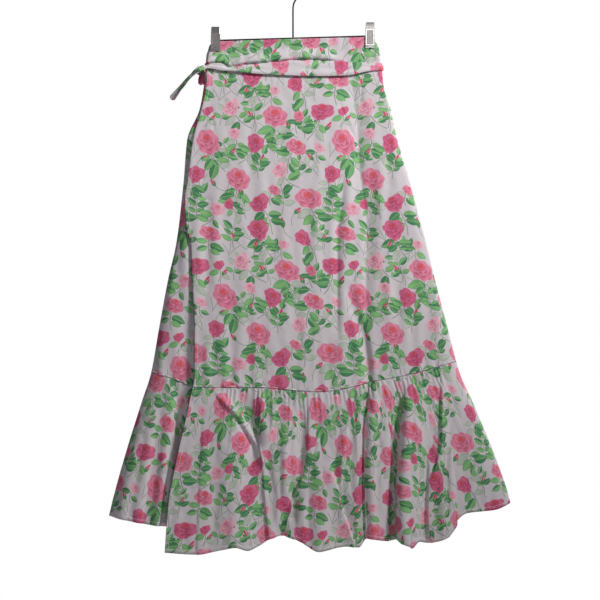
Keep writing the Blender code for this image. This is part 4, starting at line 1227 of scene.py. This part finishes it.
def make_tie_tail():
    """The free end, folded in half along its length, so that it shows a lit side and a shaded side."""
    steps = np.linspace(0, 1, 70)
    table = np.array(TAIL_ROWS, float)
    places = np.linspace(0, 1, len(table))
    x, drop, angle, width = (smooth(np.stack([places, column], axis=1) / MM)(steps) for column in table.T)
    middle = points(x * MM, np.full(len(x), TAIL_Y), drop * MM)
    along = headings(middle)
    angle = -np.radians(angle)[:, None]
    width = width * np.clip(rounded(1 - steps, TAIL_LENGTH, 5), 0.45, 1)
    across = np.cos(angle) * np.array((0, 1, 0)) + np.sin(angle) * np.cross(along, (0, 1, 0))
    out = np.cross(along, across)
    side = np.linspace(-0.5, 0.5, 15)[:, None, None]
    wave = 0.7 * MM * np.sin(steps * 11)[:, None]
    fold = (0.9 - 3.6 * np.abs(side)) * 1.1 * MM
    grid = middle + across * (width[:, None] * MM * side) + out * (fold + wave * side)
    run = np.linspace(0, TAIL_LENGTH * MM, 70)
    cut = cut_out(run, side[..., 0] * TAIL_WIDTH * MM, TAIL_CUT)
    return shell("tie_tail", grid, normals(grid), TIE_HALF * 0.8, cut, inside=PRINTED_SIDE)


# ---- the pieces of the skirt ----
panel_rows = spread(610, 3, (0.5, 1.2, 2.2, 3.6), (3.6, 2.2, 1.2, 0.5))
under_rows = spread(610, 4.5, (0.5, 1.4, 3), (3, 1.4, 0.5))
ruffle_rows = spread(300, 3, (0.5, 1.2, 2.2, 3.6), (8.4, 7.9, 7.3, 6.8, 6.3, 4, 1))
other_ruffle_rows = spread(290, 4, (0.5, 1.4, 3), (8.4, 7.8, 6.8, 4, 1))
cloth = {}
cloth["over_panel"] = make_panel(
    "over_panel", OVER, 184, panel_rows, RUFFLE_SEAM, FRONT_CREASES,
    seed=11, gathers=OVER_GATHERS, free_edge=0, cut_from=(0, 0),
)
cloth["under_panel"] = make_panel(
    "under_panel", UNDER, 70, under_rows, RUFFLE_SEAM, SIDE_CREASES,
    seed=23, gathers=UNDER_GATHERS, free_edge=-1, cut_from=(70, 140),
)
cloth["back_panel"] = make_panel(
    "back_panel", BACK, 130, panel_rows, BACK_SEAM, BACK_CREASES,
    seed=31, gathers=BACK_GATHERS, free_edge=None, cut_from=(150, 40),
)
cloth["over_ruffle"] = make_ruffle(
    "over_ruffle", OVER, 8, ruffle_rows, RUFFLE_SEAM, OVER_HEM, RUFFLE_FOLDS, RUFFLE_CREASES,
    seed=41, gathers=OVER_GATHERS, depth=2.1 * MM, free_edge=0, cut_from=(30, 190), flat_left_of=FLAT_LEFT_OF,
)
cloth["under_ruffle"] = make_ruffle(
    "under_ruffle", UNDER, 6, other_ruffle_rows, RUFFLE_SEAM, UNDER_HEM, UNDER_FOLDS, SIDE_CREASES,
    seed=53, gathers=UNDER_GATHERS, depth=1.8 * MM, free_edge=-1, cut_from=(10, 60),
)
cloth["back_ruffle"] = make_ruffle(
    "back_ruffle", BACK, 7, other_ruffle_rows, BACK_SEAM, BACK_HEM, (), (),
    seed=61, gathers=BACK_GATHERS, depth=2.1 * MM, free_edge=None, cut_from=(60, 220),
)
cloth["waistband"] = make_waistband()
cloth["tie_strip"] = make_tie_strip()
cloth["tie_knot"] = make_knot()
cloth["tie_loop"] = make_tie_loop()
cloth["tie_tail"] = make_tie_tail()

# ---- the hanger and its clips ----
CLIP_PLACES = {"left": -151 * MM, "right": 150 * MM}
JAW_UP, JAW_DOWN = 25.5 * MM, {"left": 22 * MM, "right": 24 * MM}  # from the rod
JAW_SHEET = 1.2 * MM
JAW_WIDTH, SHOULDER_WIDTH, TAB_WIDTH = 18.6 * MM, 17.4 * MM, 15.4 * MM
SHOULDER, TAB_SLOPE = 13.5 * MM, 1.5 * MM  # height over the rod, and how soon the tab narrows above it
JAW_LEAN = (3.4 * MM, 0.9 * MM, 0.7 * MM)  # off the spring at the top, the neck and the shoulder
TIP_FLARE, TIP_HEIGHT, LIP_HEIGHT = 0.6 * MM, 4.5 * MM, 1 * MM
SPRING_RADIUS, SPRING_LENGTH, SPRING_WIRE, SPRING_TURNS = 5 * MM, 11 * MM, 0.75 * MM, 6
RIM, RECESS = 3 * MM, 0.5 * MM  # of the front jaw's pressed panel
NOTCH_HALF, NOTCH_HEIGHT = 2.4 * MM, 1.9 * MM
BAND_CLOTH = 2.2 * MM  # thickness of the waistband as it is pinched
ROD_RADIUS, WIRE_RADIUS, HOOK_RADIUS = 1.6 * MM, 1.6 * MM, 17 * MM
ROD_OVER_CLOTH, ROD_TILT = 2.2 * MM, -8 / 276.5
NECK_LENGTH, NECK_JOIN, RING_ARC = 22 * MM, math.radians(-52), math.radians(240)


def on_rod(x, above=0.0):
    """A place on the rod, which tilts a little, or so far above it."""
    return Vector((x, 0, -ROD_BELOW_HOOK + ROD_OVER_CLOTH - x * ROD_TILT + above))


def start_edit(mode="FACE"):
    """Edit mode with nothing selected, and the mesh to pick from."""
    bpy.ops.object.mode_set(mode="EDIT")
    bpy.ops.mesh.select_mode(type=mode)
    bpy.ops.mesh.select_all(action="DESELECT")
    return bmesh.from_edit_mesh(bpy.context.object.data)


def pick(parts, wanted):
    """Selects the parts of the mesh in edit mode that are wanted."""
    for part in parts:
        part.select_set(bool(wanted(part)))
    bmesh.update_edit_mesh(bpy.context.object.data)


def finish_hard(made, name, finish, node_name, angle):
    bpy.ops.object.mode_set(mode="OBJECT")
    made.name = made.data.name = name
    bpy.ops.object.transform_apply(location=True, rotation=True, scale=True)
    bpy.ops.object.shade_smooth_by_angle(angle=math.radians(angle))
    if not made.data.materials:
        made.data.materials.append(finish)
    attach(made, "root")
    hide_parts(node_name)
    made.select_set(False)


def bevel_edges(made, width, segments):
    """Rounds the sharp edges of the selected piece."""
    modifier = made.modifiers.new("rounded edges", "BEVEL")
    modifier.width = width
    modifier.segments = segments
    modifier.limit_method = "ANGLE"
    bpy.ops.object.modifier_apply(modifier=modifier.name)


def make_jaw(side, x, name, facing, surface):
    """A jaw, drawn up row by row from its tip. The front one has a pressed panel, and both are notched below.

    facing is the sign of y on its side of the cloth, and surface the cloth that it grips.
    """
    axis = on_rod(x).z
    tip = axis - JAW_DOWN[side]
    grip = BAND_CLOTH / 2 + SEAM + JAW_SHEET / 2
    top, neck, shoulder = [SPRING_RADIUS + SEAM + JAW_SHEET / 2 + lean for lean in JAW_LEAN]
    across = np.array((x - JAW_WIDTH / 2, x, x + JAW_WIDTH / 2))
    on_cloth = np.max(facing * surface(across, np.full(3, -ROD_BELOW_HOOK - tip))) + grip
    rows = (
        (on_cloth, tip + LIP_HEIGHT, JAW_WIDTH),
        (on_cloth + TIP_FLARE, tip + TIP_HEIGHT, JAW_WIDTH),
        (shoulder, axis + SHOULDER, SHOULDER_WIDTH),
        (neck, axis + SHOULDER + TAB_SLOPE, SHOULDER_WIDTH - 0.4 * MM),
        (top, axis + JAW_UP, TAB_WIDTH),
    )
    bpy.ops.mesh.primitive_cube_add(size=1, location=(x, facing * on_cloth, tip + LIP_HEIGHT / 2))
    made = bpy.context.object
    made.scale = (JAW_WIDTH, JAW_SHEET, LIP_HEIGHT)
    bpy.ops.object.transform_apply(location=True, rotation=True, scale=True)
    work = start_edit()
    pick(work.faces, lambda face: face.normal.z > 0.9)
    out, height, width = rows[0]
    for next_out, next_height, next_width in rows[1:]:
        step = (0, facing * (next_out - out), next_height - height)
        bpy.ops.mesh.extrude_region_move(TRANSFORM_OT_translate={"value": step})
        bpy.ops.transform.resize(value=(next_width / width, 1, 1))
        out, height, width = next_out, next_height, next_width
    bpy.ops.mesh.select_all(action="SELECT")
    bpy.ops.mesh.normals_make_consistent(inside=False)
    made.data.materials.append(CHROME)
    made.data.materials.append(BRUSHED_CHROME)
    if name == "front":
        work = bmesh.from_edit_mesh(made.data)
        widest = max((f for f in work.faces if f.normal.y < -0.9), key=lambda face: face.calc_area())
        pick(work.faces, lambda face: face == widest)
        bpy.ops.mesh.inset(thickness=RIM)
        bpy.ops.mesh.inset(thickness=RECESS, depth=-RECESS)
        made.active_material_index = 1
        bpy.ops.object.material_slot_assign()
    for place in (-NOTCH_HALF, 0, NOTCH_HALF):
        bpy.ops.mesh.select_all(action="SELECT")
        bpy.ops.mesh.bisect(plane_co=(x + place, 0, 0), plane_no=(1, 0, 0))
    work = start_edit("VERT")
    pick(work.verts, lambda v: abs(v.co.x - x) < 1e-5 and v.co.z < tip + LIP_HEIGHT / 2)
    bpy.ops.transform.translate(value=(0, 0, NOTCH_HEIGHT))
    bpy.ops.object.mode_set(mode="OBJECT")
    bevel_edges(made, 0.22 * MM, 2)
    finish_hard(made, f"{side}_{name}_jaw", CHROME, f"clip_{side}_{name}", 12)


def make_spring(side, x):
    """A coil of spring wire between the jaws, drawn round its own axis, with its ends closed."""
    centre = on_rod(x, ROD_RADIUS + SEAM + SPRING_RADIUS)
    start = centre + Vector((SPRING_WIRE - SPRING_LENGTH / 2, 0, 0))
    bpy.ops.mesh.primitive_circle_add(vertices=12, radius=SPRING_WIRE, fill_type="NOTHING")
    made = bpy.context.object
    start_edit("VERT")
    bpy.ops.mesh.select_all(action="SELECT")
    bpy.ops.transform.translate(value=(0, SPRING_RADIUS - SPRING_WIRE, 0))
    bpy.ops.object.mode_set(mode="OBJECT")
    modifier = made.modifiers.new("coil", "SCREW")
    modifier.axis = "X"
    modifier.steps = modifier.render_steps = 28
    modifier.iterations = SPRING_TURNS
    modifier.screw_offset = (SPRING_LENGTH - 2 * SPRING_WIRE) / SPRING_TURNS
    modifier.use_merge_vertices = False
    bpy.ops.object.modifier_apply(modifier=modifier.name)
    made.location = start
    start_edit("EDGE")
    bpy.ops.mesh.select_all(action="SELECT")
    bpy.ops.mesh.fill_holes(sides=0)
    bpy.ops.mesh.select_all(action="SELECT")
    bpy.ops.mesh.normals_make_consistent(inside=False)
    finish_hard(made, f"{side}_spring_coil", SPRING_STEEL, f"clip_{side}_spring", 60)


def make_rod():
    """The straight wire along the waistband's top, with rounded ends."""
    reach = JAW_WIDTH / 2 - MM
    start, end = on_rod(CLIP_PLACES["left"] - reach), on_rod(CLIP_PLACES["right"] + reach)
    way = end - start
    bpy.ops.mesh.primitive_cylinder_add(vertices=24, radius=ROD_RADIUS, depth=way.length)
    made = bpy.context.object
    made.location = (start + end) / 2
    made.rotation_euler = way.to_track_quat("Z", "Y").to_euler()
    bpy.ops.object.transform_apply(location=True, rotation=True, scale=True)
    bevel_edges(made, 0.7 * MM, 3)
    finish_hard(made, "hanger_rod_wire", DARK_WIRE, "hanger_rod", 35)


def make_hook():
    """A wire that rises from the rod, bends aside and comes back over its own stem."""
    foot = on_rod(0, ROD_RADIUS + SEAM).z
    ring = HOOK_RADIUS + WIRE_RADIUS
    join = np.array((ring * math.cos(NECK_JOIN), ring * math.sin(NECK_JOIN) - HOOK_RADIUS))
    neck = np.array((0, -HOOK_RADIUS - ring - NECK_LENGTH))
    pull = 1.2 * np.linalg.norm(join - neck)
    leaving = np.array((0, pull))
    arriving = pull * np.array((-math.sin(NECK_JOIN), math.cos(NECK_JOIN)))
    route = [(0, foot), (0, (foot + neck[1]) / 2)]
    for t in np.linspace(0, 1, 17)[:-1]:
        ahead = t * t * (3 - 2 * t)
        bent = t * (1 - t) ** 2 * leaving - t * t * (1 - t) * arriving
        route.append(tuple(neck * (1 - ahead) + join * ahead + bent))
    for angle in NECK_JOIN + RING_ARC * np.linspace(0, 1, 49):
        route.append((ring * math.cos(angle), ring * math.sin(angle) - HOOK_RADIUS))
    curve = bpy.data.curves.new("hanger hook", "CURVE")
    curve.dimensions = "3D"
    curve.bevel_depth = WIRE_RADIUS
    curve.bevel_resolution = 6
    curve.use_fill_caps = True
    spline = curve.splines.new("POLY")
    spline.points.add(len(route) - 1)
    for point, (x, z) in zip(spline.points, route):
        point.co = (x, 0, z, 1)
    made = bpy.data.objects.new("hanger hook", curve)
    bpy.context.scene.collection.objects.link(made)
    bpy.context.view_layer.objects.active = made
    made.select_set(True)
    bpy.ops.object.convert(target="MESH")
    made = bpy.context.object
    start_edit()
    bpy.ops.mesh.select_all(action="SELECT")
    bpy.ops.mesh.remove_doubles(threshold=0.01 * MM)
    bpy.ops.mesh.normals_make_consistent(inside=False)
    bpy.ops.object.mode_set(mode="OBJECT")
    bevel_edges(made, 0.5 * MM, 2)
    finish_hard(made, "hanger_hook_wire", DARK_WIRE, "hanger_hook", 50)


bpy.ops.object.select_all(action="DESELECT")
make_rod()
make_hook()
for side, x in CLIP_PLACES.items():
    make_jaw(side, x, "front", -1, over_y)
    make_jaw(side, x, "back", 1, back_y)
    make_spring(side, x)

# How each sheet was cut: its flat width and length, how it is held, what it hangs from, and its flat area where
# it isn't a rectangle, in metres.
SHEETS = {
    "waistband": ((0.946, 0.056), "hung", ("clip_left_front", "clip_right_front"), None),
    "over_panel": ((0.565, 0.625), "hung", ("waistband",), 0.283),
    "under_panel": ((0.445, 0.625), "hung", ("waistband",), 0.204),
    "back_panel": ((0.625, 0.610), "hung", ("waistband",), 0.300),
    "over_ruffle": ((0.82, 0.305), "gathered", ("over_panel",), None),
    "under_ruffle": ((0.56, 0.285), "gathered", ("under_panel",), None),
    "back_ruffle": ((0.87, 0.285), "gathered", ("back_panel",), None),
    "tie_strip": ((0.69, 0.026), "draped", ("waistband",), None),
    "tie_knot": ((0.044, 0.025), "folded", ("tie_strip",), None),
    "tie_loop": ((0.069, 0.0145), "folded", ("tie_knot",), None),
    "tie_tail": ((0.083, 0.022), "hung", ("tie_knot",), None),
}
for name, (flat, held, above, area) in SHEETS.items():
    piece = cloth[name]
    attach(piece, "root")
    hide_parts(name)

# ---- floor, lights and camera ----
FLOOR_RADIUS, FLOOR_THICK, FLOOR_TOP = 1.2, 0.01, -1.45
# Each light: place, what it aims at, size, power and spread in degrees.
LIGHTS = {
    "key": ((2.2, -1.8, 1.5), (0, 0, -0.2), 0.5, 8.2, 46),
    "fill": ((-1.2, -2.6, 0.5), (0, 0, -0.6), 1.6, 2.4, 180),
    "back": ((2.0, 2.2, 1.1), (0, 0, -0.5), 0.5, 9, 52),
    "back fill": ((-0.8, 3.2, 0.3), (0, 0, -0.6), 1.6, 9, 180),
    "window": ((0.42, -3.9, 0.28), (0.15, 0, -0.12), 0.6, 4, 180),
    "low window": ((0.5, -3.95, -0.82), (0.15, 0, -0.14), 0.7, 2.8, 180),
}
# The room's light: its tint and strength on the skirt, and as the plain white wall behind it.
ROOM_TINT, WALL_TINT, ROOM_LIGHT, WALL_LIGHT = (0.9, 0.92, 1, 1), (1, 1, 1, 1), 0.15, 1.0
CAMERA_PLACE, CAMERA_LENS, SENSOR_WIDTH = (0.01365, -3.73, -0.623), 114.8, 36

bpy.ops.object.select_all(action="DESELECT")
bpy.ops.mesh.primitive_cylinder_add(
    vertices=96, radius=FLOOR_RADIUS, depth=FLOOR_THICK, location=(0, 0, FLOOR_TOP - FLOOR_THICK / 2)
)
floor = bpy.context.object
floor.name = "floor"
floor_finish, _, shader = new_material("pale painted floor")
shader.inputs["Base Color"].default_value = linear("E4E3E2")
shader.inputs["Roughness"].default_value = 0.9
floor.data.materials.append(floor_finish)

for name, (place, aim, size, power, spread_angle) in LIGHTS.items():
    bpy.ops.object.light_add(type="AREA", location=place)
    light = bpy.context.object
    light.name = name
    light.data.size = size
    light.data.energy = power
    light.data.spread = math.radians(spread_angle)
    light.rotation_euler = (Vector(aim) - Vector(place)).to_track_quat("-Z", "Y").to_euler()

scene = bpy.context.scene
world = bpy.data.worlds.new("studio")
world.use_nodes = True
scene.world = world
backdrop = world.node_tree.nodes["Background"]
add = partial(node, world.node_tree)
seen = add("LightPath", out="Is Camera Ray")
tint = add("Mix", seen, ROOM_TINT, WALL_TINT, data_type="RGBA")
strength = add("MapRange", seen, 0.0, 1.0, ROOM_LIGHT, WALL_LIGHT)
world.node_tree.links.new(tint, backdrop.inputs["Color"])
world.node_tree.links.new(strength, backdrop.inputs["Strength"])

bpy.ops.object.camera_add(location=CAMERA_PLACE, rotation=(math.pi / 2, 0, 0))
camera = bpy.context.object
camera.data.lens = CAMERA_LENS
camera.data.sensor_width = SENSOR_WIDTH
scene.camera = camera
scene.view_settings.view_transform = "Standard"
